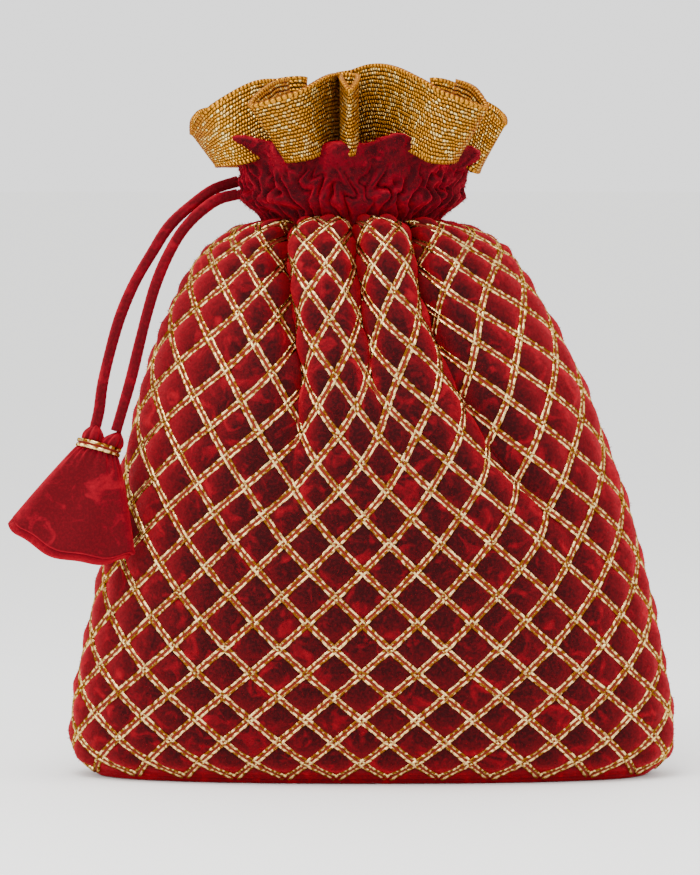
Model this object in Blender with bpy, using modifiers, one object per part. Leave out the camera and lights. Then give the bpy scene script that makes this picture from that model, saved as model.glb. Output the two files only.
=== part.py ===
"""Potli bag: a stuffed velvet drawstring pouch that stands on its own base.

The velvet body is crossed by gold braids in a diamond lattice. Its cloth is gathered into
folds at the neck, where a plain velvet frill hides the drawstring. A gold ribbon ruffle stands
on the frill, and both ends of the drawstring hang down the left side to a velvet tassel.

Units are metres, +Z is up, the front faces -Y, and the origin is under the middle of the base.
"""

import math

import bmesh
import bpy
import numpy as np
from mathutils import Vector
from mathutils.bvhtree import BVHTree

MM = 0.001

# Body: width and depth of the oval base, depth of the belly, and height of the seam at the neck.
BASE_WIDTH = 203 * MM
BASE_DEPTH = 62 * MM
BELLY_DEPTH = 97 * MM
SEAM_HEIGHT = 189 * MM
NECK_WIDTH = 58 * MM
NECK_DEPTH = 34 * MM
NECK_LEAN = 7 * MM
CLOTH_THICKNESS = 1.4 * MM
BASE_ROLL = 6 * MM
FOLD_DEPTH = 7 * MM
GATHER_DEPTH = 2 * MM

# Lattice: diamonds round the bag, and half diamonds from the base up to the neck seam.
DIAMONDS_ROUND = 25
HALF_ROWS = 24
BRAID_TOP_ROW = 22
BRAID_WIDTH = 2.4 * MM
BRAID_THICKNESS = 0.5 * MM
BRAID_REACH = 3 * MM

# Frill, with the channel for the drawstring inside it.
FRILL_WIDTH = 78 * MM
FRILL_DEPTH = 50 * MM
FRILL_HEIGHT = 18.5 * MM
MOUTH_WIDTH = 42 * MM
MOUTH_DEPTH = 17 * MM
FRILL_GATHERS = 24
FRILL_PETALS = 8
GATHER_SIZE = 2.2 * MM
PETAL_SIZE = 2.4 * MM

# Ruffle of woven metallic ribbon.
RIBBON_WIDTH = 25 * MM
RIBBON_THICKNESS = 0.8 * MM
RUFFLE_COLUMNS = 100

# Drawstring, and the tassel on its ends.
CORD_DIAMETER = 3.6 * MM
CORD_STEP = 2.2 * CORD_DIAMETER
CHANNEL_CLEARANCE = 0.4 * MM
TASSEL_LENGTH = 40 * MM
TASSEL_WIDTH = 45 * MM
TASSEL_DEPTH = 13 * MM
TASSEL_CINCH_WIDTH = 13.2 * MM
TASSEL_CINCH_DEPTH = 8 * MM
TASSEL_KNOT_HEIGHT = 6 * MM
TASSEL_WALL = 1.4 * MM
BAND_HEIGHT = 2.8 * MM
BAND_THICKNESS = 0.6 * MM

# Gap between pieces that touch.
GAP = 0.3 * MM

# Shape of the body against the half rows: height as a share of the seam's, width between the
# neck's (0) and the base's (1), depth between the neck's (0) and the belly's (1), lean as a
# share of the neck's, and how far the rows rise at the sides, in millimetres.
PROFILE_ROWS = (0, 1, 3, 5, 7, 9, 11, 13, 15, 17, 19, 20, 21, 22, 23, 24)
PROFILE_HEIGHT = (0.012, 0.042, 0.122, 0.206, 0.296, 0.389, 0.484, 0.579, 0.677, 0.780, 0.877,
                  0.921, 0.960, 0.990, 1.004, 1.0)
PROFILE_WIDTH = (0.930, 0.990, 1.0, 0.960, 0.909, 0.847, 0.785, 0.709, 0.625, 0.514, 0.399,
                 0.345, 0.295, 0.235, 0.145, 0.0)
PROFILE_DEPTH = (0.317, 0.444, 0.603, 0.746, 0.857, 0.937, 0.984, 1.0, 0.952, 0.810, 0.620,
                 0.524, 0.413, 0.270, 0.127, 0.0)
PROFILE_LEAN = (0.0, 0.0, 0.0, 0.0, -0.04, -0.04, 0.04, 0.24, 0.43, 0.64, 0.78, 0.80,
                0.80, 0.82, 0.90, 1.0)
PROFILE_SIDE_RISE = (0.0, 0.0, 0.0, 0.0, 1.0, 2.0, 3.0, 4.0, 5.0, 4.5, 2.0, 0.0, -3.0, -5.0,
                     -4.0, -1.0)

# Fold valleys, as (row, diamonds from the front column, share of the way round the oval) down
# from the neck, then the row at which the fold fades and its depth against FOLD_DEPTH.
FRONT_SHIFT = 0.0118
VALLEYS = (
    (((24, -2.9, -0.112), (22, -2.8, -0.110), (19, -2.6, -0.082), (16, -2.3, -0.060),
      (13, -2.1, -0.061), (10, -2.0, -0.068)), 9.5, 1.0),
    (((24, 0.25, -0.003), (22, 0.25, -0.003), (19, 0.25, 0.004), (16, 0.25, 0.010),
      (13, 0.25, 0.020), (10, 0.25, 0.022)), 13.5, 0.7),
    (((24, 3.0, 0.090), (22, 3.0, 0.089), (19, 2.8, 0.079), (16, 2.5, 0.087),
      (13, 2.8, 0.110), (10, 3.7, 0.155)), 7.0, 0.9),
    (((24, 7.4, 0.300), (22, 7.4, 0.300), (19, 7.4, 0.303), (16, 7.4, 0.305),
      (13, 7.4, 0.307), (10, 7.4, 0.308)), 9.5, 0.62),
    (((24, 10.8, 0.425), (22, 10.8, 0.425), (19, 10.7, 0.434), (16, 10.6, 0.436),
      (13, 10.6, 0.436), (10, 10.6, 0.436)), 12.0, 0.80),
    (((24, 14.2, 0.570), (22, 14.2, 0.570), (19, 14.3, 0.578), (16, 14.4, 0.584),
      (13, 14.5, 0.590), (10, 14.6, 0.596)), 8.5, 0.95),
    (((24, 17.6, 0.710), (22, 17.6, 0.710), (19, 17.6, 0.713), (16, 17.6, 0.715),
      (13, 17.6, 0.716), (10, 17.6, 0.716)), 10.5, 0.75),
)
FOLD_WALL = 1.25
FOLD_DEEPEST_ROW = 20

# Ruffle: rulings across the ribbon in millimetres from the middle of the neck seam, each a
# point on the lower edge and one towards the upper edge, clockwise from the left tip.
RUFFLE_RULINGS = (
    ((-45, -14, 18), (-53.5, 6, 29)),
    ((-35, -19, 19), (-46, -8, 38)),
    ((-26, -9, 22.5), (-33, -5, 45)),
    ((-21, -2, 23), (-25, 3, 46.5)),
    ((-17.5, -6, 22.5), (-21.5, -5, 45)),
    ((-19, -14, 22), (-26, -19, 42)),
    ((-21.5, -26, 19.5), (-32, -37, 35.5)),
    ((-13.5, -28, 20.5), (-17.6, -39, 40)),
    ((-7.5, -21, 23.5), (-8, -26, 44)),
    ((-3.8, -15.5, 23.5), (-4, -17.5, 44)),
    ((-3.4, -25, 22), (-3.4, -31, 41)),
    ((-0.8, -28.5, 21.5), (-0.8, -40, 39)),
    ((1.8, -25, 22), (1.8, -31, 41)),
    ((1.5, -14, 23.5), (1.0, -16, 44.5)),
    ((-3.2, -9.5, 24), (-4.7, -10, 48)),
    ((0.5, -5.5, 25), (0, -6, 50)),
    ((7, -10, 27), (7, -13, 51.4)),
    ((13.5, -17, 26), (14.7, -22, 50.7)),
    ((20, -25, 22.5), (23, -31, 47)),
    ((25.5, -28, 19.5), (30, -37, 42)),
    ((31.5, -26, 19), (37, -37, 35)),
    ((35, -20, 20), (42, -31, 32)),
    ((32, -13, 22.5), (38.5, -20, 37)),
    ((27.5, -5.5, 23), (34, -6, 43)),
    ((34, -4.5, 22), (44, 8, 35)),
    ((40.5, -10, 16), (51.4, 5, 31)),
    ((43, 4, 17), (51, 17, 36)),
    ((35, 12, 22), (41, 24, 42)),
    ((24, 8, 23), (28, 11, 47)),
    ((24, 25, 20.5), (30, 37, 41)),
    ((15, 29, 20.5), (16, 42, 40)),
    ((8, 11, 23), (8, 14, 48)),
    ((0, 10, 23), (0, 13, 49)),
    ((-3, 29, 20.5), (-5, 42, 40)),
    ((-13, 28, 20.5), (-18, 39, 41)),
    ((-13, 11, 23), (-16, 13, 47)),
    ((-20, 9, 23), (-26, 12, 45)),
    ((-29, 23, 19), (-40, 31, 38)),
    ((-38, 15, 18), (-49, 23, 34)),
    ((-43, 2, 18), (-53, 15, 31)),
)

# Route of the drawstring, in millimetres: up the outer strand, round the neck and down the
# inner strand. The first and last points lie on top of the tassel.
OUTER_STRAND = ((-92.0, -20.0, 124.0), (-90.6, -18.6, 134.0), (-88.4, -16.8, 144.0),
                (-84.2, -14.0, 158.4), (-79.9, -11.5, 168.3), (-74.4, -9.0, 177.8),
                (-68.5, -6.0, 187.0), (-61.0, -3.0, 194.1), (-53.9, 0.0, 199.2),
                (-45.6, 2.2, 202.0))
NECK_LOOP = ((-38.6, 3.4, 201.2), (-31.5, 7.0, 199.6), (-21.0, 12.0, 199.0), (-7.0, 14.0, 199.0),
             (7.5, 11.8, 199.0), (16.8, 6.6, 199.0), (19.6, 0.0, 199.0), (16.8, -6.6, 199.0),
             (7.5, -11.8, 199.0), (-7.0, -14.0, 199.0), (-21.0, -12.0, 198.8),
             (-31.5, -7.0, 198.2), (-38.6, -3.4, 197.6))
INNER_STRAND = ((-45.6, -3.0, 197.6), (-51.8, -4.0, 196.0), (-58.0, -6.0, 191.8),
                (-64.1, -8.0, 185.3), (-68.9, -10.5, 177.1), (-72.6, -13.0, 168.3),
                (-75.7, -15.5, 157.8), (-78.4, -17.5, 147.0), (-81.0, -19.2, 136.0),
                (-83.8, -20.6, 126.0))

# Tassel: the middle of its band, and how far its axis leans from upright.
BAND_MIDDLE = Vector((-91.8, -22.5, 113.0)) * MM
TASSEL_LEAN = math.radians(17)
TASSEL_PITCH = math.radians(-10)


def clear_scene():
    """Remove every object, so that the model starts from nothing."""
    for item in list(bpy.data.objects):
        bpy.data.objects.remove(item, do_unlink=True)


def new_collection(name):
    """Add a collection to the scene."""
    collection = bpy.data.collections.new(name)
    bpy.context.scene.collection.children.link(collection)
    return collection


def new_material(name, colour, roughness, metallic=0.0):
    """Add a Principled material with its colour, roughness and metallic value."""
    material = bpy.data.materials.new(name)
    material.use_nodes = True
    shader = material.node_tree.nodes["Principled BSDF"]
    shader.inputs["Base Color"].default_value = (*colour, 1.0)
    shader.inputs["Roughness"].default_value = roughness
    shader.inputs["Metallic"].default_value = metallic
    material.diffuse_color = (*colour, 1.0)
    return material


def add_mesh(name, points, faces, material, collection):
    """Add an object from points and faces, with its faces turned outwards and shaded smooth."""
    mesh = bpy.data.meshes.new(name)
    mesh.from_pydata([tuple(point) for point in points], [], faces)
    cage = bmesh.new()
    cage.from_mesh(mesh)
    bmesh.ops.recalc_face_normals(cage, faces=cage.faces)
    cage.to_mesh(mesh)
    cage.free()
    mesh.shade_smooth()
    mesh.set_sharp_from_angle(angle=math.radians(50))
    mesh.materials.append(material)
    item = bpy.data.objects.new(name, mesh)
    collection.objects.link(item)
    return item


def thicken(item, thickness, offset):
    """Give a surface its thickness: offset -1 grows inwards, 0 grows to both sides."""
    shell = item.modifiers.new("thickness", "SOLIDIFY")
    shell.thickness = thickness
    shell.offset = offset
    shell.use_even_offset = False


def smooth_curve(knots, values, at):
    """Cubic through the values at the knots, with each slope taken from the two neighbours."""
    knots = np.asarray(knots, float)
    values = np.asarray(values, float)
    slopes = np.gradient(values, knots)
    at = np.clip(at, knots[0], knots[-1])
    left = np.clip(np.searchsorted(knots, at, side="right") - 1, 0, len(knots) - 2)
    span = knots[left + 1] - knots[left]
    t = (at - knots[left]) / span
    return ((2 * t**3 - 3 * t**2 + 1) * values[left] + (t**3 - 2 * t**2 + t) * span * slopes[left]
            + (3 * t**2 - 2 * t**3) * values[left + 1] + (t**3 - t**2) * span * slopes[left + 1])


def smooth_step(value):
    """Rise from 0 to 1 with level ends."""
    value = np.clip(value, 0.0, 1.0)
    return value * value * (3 - 2 * value)


def oval(half_width, half_depth, exponent, share):
    """Points and outward normals of a superellipse at shares of its length from the front."""
    turn = np.linspace(0.0, 2 * math.pi, 721)
    x = half_width * np.sign(np.sin(turn)) * np.abs(np.sin(turn)) ** (2 / exponent)
    y = -half_depth * np.sign(np.cos(turn)) * np.abs(np.cos(turn)) ** (2 / exponent)
    length = np.concatenate(([0.0], np.cumsum(np.hypot(np.diff(x), np.diff(y)))))
    length /= length[-1]
    share = np.mod(share, 1.0)
    near = 0.004
    point = np.stack((np.interp(share, length, x), np.interp(share, length, y)), -1)
    ahead = np.mod(share + near, 1.0)
    behind = np.mod(share - near, 1.0)
    dx = np.interp(ahead, length, x) - np.interp(behind, length, x)
    dy = np.interp(ahead, length, y) - np.interp(behind, length, y)
    normal = np.stack((dy, -dx), -1) / np.hypot(dx, dy)[..., None]
    return point, normal


def valley_row(row):
    """Fabric position, share of the oval and depth of each valley at one row."""
    places = []
    for knots, fade, weight in VALLEYS:
        rows, fabric, share = np.array(knots[::-1]).T
        position = float(smooth_curve(rows, fabric, row))
        even = position / DIAMONDS_ROUND + FRONT_SHIFT
        held = float(smooth_step((row - 8) / 3))
        angle = held * float(smooth_curve(rows, share, row)) + (1 - held) * even
        depth = weight * FOLD_DEPTH * float(smooth_step((row - fade) / (FOLD_DEEPEST_ROW - fade)))
        gather = float(smooth_step((row - 22) / 2))
        places.append((position, angle, depth * (1 - gather) + GATHER_DEPTH * gather))
    return np.array(places).T


def body_row(row, fabric):
    """Points of the body at one row of the cloth, for positions in diamonds round the bag.

    Between two valleys the cloth runs over a lobe. Near a valley it turns inwards along the
    fold's wall, so the distance round the oval grows slower there than the cloth does.
    """
    height = float(smooth_curve(PROFILE_ROWS, PROFILE_HEIGHT, row)) * SEAM_HEIGHT
    wide = float(smooth_curve(PROFILE_ROWS, PROFILE_WIDTH, row))
    deep = float(smooth_curve(PROFILE_ROWS, PROFILE_DEPTH, row))
    lean = float(smooth_curve(PROFILE_ROWS, PROFILE_LEAN, row)) * NECK_LEAN
    rise = float(smooth_curve(PROFILE_ROWS, PROFILE_SIDE_RISE, row)) * MM
    half_width = (NECK_WIDTH + (BASE_WIDTH - NECK_WIDTH) * wide) / 2
    half_depth = (NECK_DEPTH + (BELLY_DEPTH - NECK_DEPTH) * deep) / 2
    exponent = 2.0 + 0.35 * (1 - float(smooth_step(row / 10)))

    position, angle, depth = valley_row(row)
    fabric = np.mod(np.asarray(fabric, float) - position[0], DIAMONDS_ROUND)
    starts = position - position[0]
    edges = np.append(starts, DIAMONDS_ROUND)
    angles = np.append(angle, angle[0] + 1)
    depths = np.append(depth, depth[0])
    lobe = np.clip(np.searchsorted(edges, fabric, side="right") - 1, 0, len(starts) - 1)
    width = edges[lobe + 1] - edges[lobe]
    along = (fabric - edges[lobe]) / width
    fold = np.minimum(1.0, (depths[lobe] + depths[lobe + 1]) / (2 * FOLD_DEPTH))
    warped = along - 0.35 * fold * np.sin(2 * math.pi * along) / (2 * math.pi)
    share = angles[lobe] + (angles[lobe + 1] - angles[lobe]) * warped

    wall = np.minimum(FOLD_WALL, width / 2)
    from_left = np.clip((fabric - edges[lobe]) / wall, 0, 1)
    from_right = np.clip((edges[lobe + 1] - fabric) / wall, 0, 1)
    inset = (depths[lobe] * (1 - np.sin(from_left * math.pi / 2))
             + depths[lobe + 1] * (1 - np.sin(from_right * math.pi / 2)))

    point, normal = oval(half_width, half_depth, exponent, share)
    ring = point - normal * inset[:, None]
    sideways = (point[:, 0] / half_width) ** 2
    z = height + rise * sideways - 0.25 * inset * float(smooth_step((row - 19) / 3))
    return np.column_stack((ring[:, 0] - lean, ring[:, 1], z))


def column_positions(row):
    """Fabric positions of a row's lattice crossings: every second row is shifted by half."""
    return np.arange(DIAMONDS_ROUND) + 0.5 * (row % 2)


def crossing(row, column):
    """Number of the crossing at a row and a column, which wraps round the bag."""
    return row * DIAMONDS_ROUND + column % DIAMONDS_ROUND


def body_surface():
    """Points and faces of the body's outer surface: one diamond for each cell of the lattice."""
    points = [point for row in range(HALF_ROWS + 1) for point in body_row(row, column_positions(row))]
    faces = []
    for row in range(HALF_ROWS - 1):
        for column in range(DIAMONDS_ROUND):
            right = crossing(row + 1, column + row % 2)
            left = crossing(row + 1, column - 1 + row % 2)
            foot = crossing(row, column)
            top = crossing(row + 2, column)
            faces.append((foot, right, top))
            faces.append((foot, top, left))
    for column in range(DIAMONDS_ROUND):
        faces.append((crossing(0, column), crossing(0, column + 1), crossing(1, column)))
        faces.append((crossing(HALF_ROWS, column + 1), crossing(HALF_ROWS, column),
                      crossing(HALF_ROWS - 1, column)))

    first = len(points)
    share = column_positions(0) / DIAMONDS_ROUND + FRONT_SHIFT
    first_row = body_row(0, column_positions(0))
    normal = oval(BASE_WIDTH / 2, BASE_DEPTH / 2, 2.35, share)[1]
    for edge, direction in zip(first_row, normal):
        points.append((edge[0] - BASE_ROLL * direction[0], edge[1] - BASE_ROLL * direction[1], 0.0))
    for column in range(DIAMONDS_ROUND):
        after = (column + 1) % DIAMONDS_ROUND
        faces.append((first + column, first + after, crossing(0, after), crossing(0, column)))
    faces.append(tuple(range(first + DIAMONDS_ROUND - 1, first - 1, -1)))
    return np.array(points), faces


def add_body(material, collection):
    """Velvet body: one folded cloth with a flat base, deep folds and an open neck."""
    points, faces = body_surface()
    body = add_mesh("bag_body", points, faces, material, collection)
    thicken(body, CLOTH_THICKNESS, -1)
    return body


def strip_columns(number, direction):
    """Crossings along one braid, which moves half a diamond sideways with each row."""
    rows = range(BRAID_TOP_ROW + 1)
    if direction > 0:
        return [crossing(row, number + row // 2) for row in rows]
    return [crossing(row, number - (row + 1) // 2) for row in rows]


def braid_frames(path, points, normals):
    """Sideways directions along a braid, square to the cloth's normal and to the path."""
    along = np.gradient(points[path], axis=0)
    side = np.cross(along, normals[path])
    return side / np.linalg.norm(side, axis=1)[:, None]


def clearance_lift(paths, points, normals, tree):
    """Height of one family's braids over the crossings, so that their flat undersides clear
    what already lies there.

    Rays go down from both edges and the middle of each braid, between one crossing and the
    next, and the highest thing that they meet sets the lift of both crossings.
    """
    lift = np.full(len(points), GAP)
    for path in paths:
        side = braid_frames(path, points, normals)
        for step in range(len(path) - 1):
            for share in np.linspace(0.0, 1.0, 13):
                middle = points[path[step]] * (1 - share) + points[path[step + 1]] * share
                across = side[step] * (1 - share) + side[step + 1] * share
                up = normals[path[step]] * (1 - share) + normals[path[step + 1]] * share
                up /= np.linalg.norm(up)
                for edge in (-0.5, 0.0, 0.5):
                    foot = middle + across * edge * BRAID_WIDTH
                    hit = tree.ray_cast(Vector(foot + up * BRAID_REACH), Vector(-up),
                                        2 * BRAID_REACH)[0]
                    if hit is None:
                        continue
                    height = float(np.dot(np.array(hit) - foot, up)) + GAP
                    for end in (step, step + 1):
                        lift[path[end]] = max(lift[path[end]], height)
    return lift


def braid_mesh(path, points, normals, lift):
    """Points and faces of one braid: a low ridge with a flat underside, closed at both ends."""
    side = braid_frames(path, points, normals) * BRAID_WIDTH / 2
    middle = points[path] + normals[path] * lift[path][:, None]
    crest = middle + normals[path] * BRAID_THICKNESS
    sections = np.stack((middle - side, middle + side, crest), 1)
    faces = [(0, 1, 2)]
    for step in range(len(path) - 1):
        for corner in range(3):
            after = (corner + 1) % 3
            faces.append((3 * step + corner, 3 * step + 3 + corner,
                          3 * step + 3 + after, 3 * step + after))
    last = 3 * (len(path) - 1)
    faces.append((last + 2, last + 1, last))
    return sections.reshape(-1, 3), faces


def add_braids(body, material, collection):
    """Gold braids in two families, the second laid over the first."""
    mesh = body.data
    points = np.array([vertex.co for vertex in mesh.vertices])
    normals = np.array([vertex.normal for vertex in mesh.vertices])
    below_points = [vertex.co for vertex in mesh.vertices]
    below_faces = [tuple(face.vertices) for face in mesh.polygons]
    for family, direction in (("rising", 1), ("falling", -1)):
        paths = [strip_columns(number, direction) for number in range(DIAMONDS_ROUND)]
        tree = BVHTree.FromPolygons(below_points, below_faces)
        lift = clearance_lift(paths, points, normals, tree)
        for number, path in enumerate(paths):
            sections, faces = braid_mesh(path, points, normals, lift)
            add_mesh(f"braid_{family}_{number + 1:02d}", sections, faces, material, collection)
            first = len(below_points)
            below_points = below_points + [Vector(point) for point in sections]
            below_faces = below_faces + [tuple(first + corner for corner in face) for face in faces]


def ring_grid(rings, columns):
    """Faces of a tube of rings that closes on itself, the last ring joined to the first."""
    faces = []
    for ring in range(rings):
        following = (ring + 1) % rings
        for column in range(columns):
            after = (column + 1) % columns
            faces.append((ring * columns + column, ring * columns + after,
                          following * columns + after, following * columns + column))
    return faces


def smooth_route(points, step):
    """Points at even steps along a smooth curve through the route's own points."""
    points = np.array(points) * MM
    knots = np.concatenate(([0.0], np.cumsum(np.linalg.norm(np.diff(points, axis=0), axis=1))))
    fine = np.linspace(0.0, knots[-1], 2000)
    curve = np.stack([smooth_curve(knots, axis, fine) for axis in points.T], -1)
    length = np.concatenate(([0.0], np.cumsum(np.linalg.norm(np.diff(curve, axis=0), axis=1))))
    even = np.linspace(0.0, length[-1], max(2, round(length[-1] / step) + 1))
    return np.stack([np.interp(even, length, axis) for axis in curve.T], -1)


def add_tube(name, points, diameter, material, collection):
    """Round tube along a row of points, with its ends closed."""
    curve = bpy.data.curves.new(name, "CURVE")
    curve.dimensions = "3D"
    curve.bevel_depth = diameter / 2
    curve.bevel_resolution = 2
    curve.use_fill_caps = True
    spline = curve.splines.new("POLY")
    spline.points.add(len(points) - 1)
    for knot, point in zip(spline.points, points):
        knot.co = (*point, 1.0)
    curve.materials.append(material)
    item = bpy.data.objects.new(name, curve)
    collection.objects.link(item)
    return item


def tube_cutter(name, points, diameter, collection):
    """Closed mesh of a tube, to cut a channel with."""
    curve = add_tube(name, points, diameter, None, collection)
    bpy.context.view_layer.update()
    evaluated = curve.evaluated_get(bpy.context.evaluated_depsgraph_get())
    mesh = bpy.data.meshes.new_from_object(evaluated)
    cage = bmesh.new()
    cage.from_mesh(mesh)
    bmesh.ops.remove_doubles(cage, verts=cage.verts, dist=0.01 * MM)
    bmesh.ops.recalc_face_normals(cage, faces=cage.faces)
    cage.to_mesh(mesh)
    cage.free()
    cutter = bpy.data.objects.new(name, mesh)
    cutter.matrix_world = curve.matrix_world
    cutter.hide_render = True
    cutter.display_type = "WIRE"
    collection.objects.link(cutter)
    bpy.data.objects.remove(curve, do_unlink=True)
    return cutter


def frill_rings():
    """Rings of the frill from its foot up the outside, over the lip and down inside the mouth.

    Each is a height as a share of the frill's, an oval's width and depth, the size of the small
    gathers at its foot and that of the petals at its lip.
    """
    foot = (NECK_WIDTH - 2 * CLOTH_THICKNESS, NECK_DEPTH - 2 * CLOTH_THICKNESS)
    full = (FRILL_WIDTH, FRILL_DEPTH)
    lip = (FRILL_WIDTH - 6 * MM, FRILL_DEPTH - 6 * MM)
    mouth = (MOUTH_WIDTH, MOUTH_DEPTH)

    def between(first, second, share):
        return tuple(a + (b - a) * share for a, b in zip(first, second))

    return ((0.0, foot, 0.5, 0.0), (0.22, between(foot, full, 0.55), 0.9, 0.0),
            (0.48, between(foot, full, 0.9), 1.0, 0.15), (0.75, full, 0.5, 0.6),
            (0.95, full, 0.1, 1.0), (1.0, lip, 0.0, 1.0), (0.86, between(mouth, lip, 0.72), 0.0, 0.8),
            (0.66, between(mouth, lip, 0.12), 0.0, 0.1), (0.0, mouth, 0.0, 0.0))


def add_frill(material, collection, cutters):
    """Plain velvet frill: gathered at its foot, petalled at its lip, with a channel inside."""
    columns = 2 * FRILL_GATHERS
    share = np.arange(columns) / columns
    points = []
    for level, (width, depth), gather, petal in frill_rings():
        outline, normal = oval(width / 2, depth / 2, 2.0, share)
        wave = (gather * GATHER_SIZE / 2 * np.cos(2 * math.pi * FRILL_GATHERS * share)
                + petal * PETAL_SIZE / 2 * np.cos(2 * math.pi * FRILL_PETALS * share))
        ring = outline + normal * wave[:, None]
        z = SEAM_HEIGHT + 2 * GAP + FRILL_HEIGHT * level
        z = z - petal * PETAL_SIZE / 2 * np.cos(2 * math.pi * FRILL_PETALS * share + 0.6)
        points.append(np.column_stack((ring[:, 0] - NECK_LEAN, ring[:, 1],
                                       np.broadcast_to(z, share.shape))))
    frill = add_mesh("neck_frill", np.concatenate(points), ring_grid(len(points), columns),
                     material, collection)
    route = drawstring_route()
    inside = route[:, 0] > -NECK_LEAN - FRILL_WIDTH / 2 - CORD_STEP
    channel = tube_cutter("drawstring_channel", route[inside],
                          CORD_DIAMETER + 2 * CHANNEL_CLEARANCE, cutters)
    cut = frill.modifiers.new("channel", "BOOLEAN")
    cut.object = channel
    return frill


def add_ruffle(material, collection):
    """Gold ribbon bent into flutes that stand on the frill."""
    rulings = np.array(RUFFLE_RULINGS) * MM
    origin = np.array((-NECK_LEAN, 0.0, SEAM_HEIGHT))
    lower = rulings[:, 0] + origin
    across = rulings[:, 1] - rulings[:, 0]
    across /= np.linalg.norm(across, axis=1)[:, None]
    knots = np.arange(-3, len(rulings) + 4)
    at = np.arange(RUFFLE_COLUMNS) / RUFFLE_COLUMNS * len(rulings)

    def closed(values):
        wrapped = values[knots % len(rulings)]
        return np.stack([smooth_curve(knots, axis, at) for axis in wrapped.T], -1)

    edge = closed(lower)
    direction = closed(across)
    direction /= np.linalg.norm(direction, axis=1)[:, None]
    points = np.concatenate((edge, edge + direction * RIBBON_WIDTH))
    columns = RUFFLE_COLUMNS
    faces = [(column, (column + 1) % columns, columns + (column + 1) % columns, columns + column)
             for column in range(columns)]
    ruffle = add_mesh("gold_ruffle", points, faces, material, collection)
    thicken(ruffle, RIBBON_THICKNESS, 0)
    return ruffle


def tassel_frame():
    """Directions of the tassel: across it, towards the back, and down along its axis."""
    down = Vector((-math.sin(TASSEL_LEAN), math.sin(TASSEL_PITCH), -math.cos(TASSEL_LEAN)))
    down.normalize()
    across = Vector((math.cos(TASSEL_LEAN), 0.0, -math.sin(TASSEL_LEAN)))
    back = across.cross(down)
    back.normalize()
    return across, back, down


def tassel_point(across_distance, back_distance, down_distance):
    """Point at distances across, behind and down from the middle of the tassel's band."""
    across, back, down = tassel_frame()
    return BAND_MIDDLE + across * across_distance + back * back_distance + down * down_distance


def add_tassel(material, collection):
    """Velvet tassel: a folded cloth, cinched under its two knots and open at its foot."""
    half_band = BAND_HEIGHT / 2 + GAP
    cinch = (TASSEL_CINCH_WIDTH / 2, TASSEL_CINCH_DEPTH / 2)
    foot = (TASSEL_WIDTH / 2, TASSEL_DEPTH / 2)
    knot = (cinch[0] + 2 * MM, cinch[1] + 0.8 * MM)
    rings = [(-TASSEL_KNOT_HEIGHT, 0.6 * knot[0], 0.5 * knot[1], 0.0),
             (-TASSEL_KNOT_HEIGHT * 0.72, knot[0], knot[1], 0.0),
             (-half_band, cinch[0], cinch[1], 0.0), (half_band, cinch[0], cinch[1], 0.0)]
    for share in (0.18, 0.42, 0.7, 1.0):
        rings.append((half_band + (TASSEL_LENGTH * 0.84 - half_band) * share,
                      cinch[0] + (foot[0] - cinch[0]) * share ** 0.85,
                      cinch[1] + (foot[1] - cinch[1]) * share ** 0.6, share))
    columns = 24
    turn = np.arange(columns) / columns * 2 * math.pi
    points = []
    for down, half_width, half_depth, open_share in rings:
        for angle in turn:
            sideways = math.cos(angle)
            notch = 0.35 * half_depth * math.exp(-(sideways / 0.25) ** 2) if down < 0 else 0.0
            pleat = 1 + 0.10 * open_share * math.cos(6 * angle)
            drop = 0.16 * TASSEL_LENGTH * open_share ** 2 * (1 - sideways ** 2)
            points.append(tassel_point(half_width * sideways,
                                       (half_depth - notch) * math.sin(angle) * pleat,
                                       down + drop))
    faces = [face for face in ring_grid(len(rings), columns)
             if max(face) - min(face) < 2 * columns]
    faces.append(tuple(range(columns)))
    tassel = add_mesh("tassel_cone", points, faces, material, collection)
    thicken(tassel, TASSEL_WALL, -1)
    return tassel


def add_band(material, collection):
    """Gold braid wound round the tassel's cinch."""
    columns = 24
    inner = (TASSEL_CINCH_WIDTH / 2 + GAP, TASSEL_CINCH_DEPTH / 2 + GAP)
    outer = (inner[0] + BAND_THICKNESS, inner[1] + BAND_THICKNESS)
    points = []
    for (half_width, half_depth), down in ((inner, -0.5), (outer, -0.5), (outer, 0.5), (inner, 0.5)):
        for column in range(columns):
            angle = 2 * math.pi * column / columns
            points.append(tassel_point(half_width * math.cos(angle), half_depth * math.sin(angle),
                                       down * BAND_HEIGHT))
    return add_mesh("tassel_band", points, ring_grid(4, columns), material, collection)


def drawstring_route():
    """Middle of the cord, from the tassel up, round the neck and back to the tassel."""
    top = TASSEL_KNOT_HEIGHT + GAP
    start = tassel_point(-0.25 * TASSEL_CINCH_WIDTH, 0.0, -top) / MM
    end = tassel_point(0.27 * TASSEL_CINCH_WIDTH, 0.0, -top) / MM
    route = (tuple(start),) + OUTER_STRAND + NECK_LOOP + INNER_STRAND + (tuple(end),)
    return smooth_route(route, CORD_STEP)


def add_drawstring(material, collection):
    """Fabric cord: both ends on the tassel, and its middle round the neck inside the frill."""
    return add_tube("drawstring", drawstring_route(), CORD_DIAMETER, material, collection)


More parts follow.
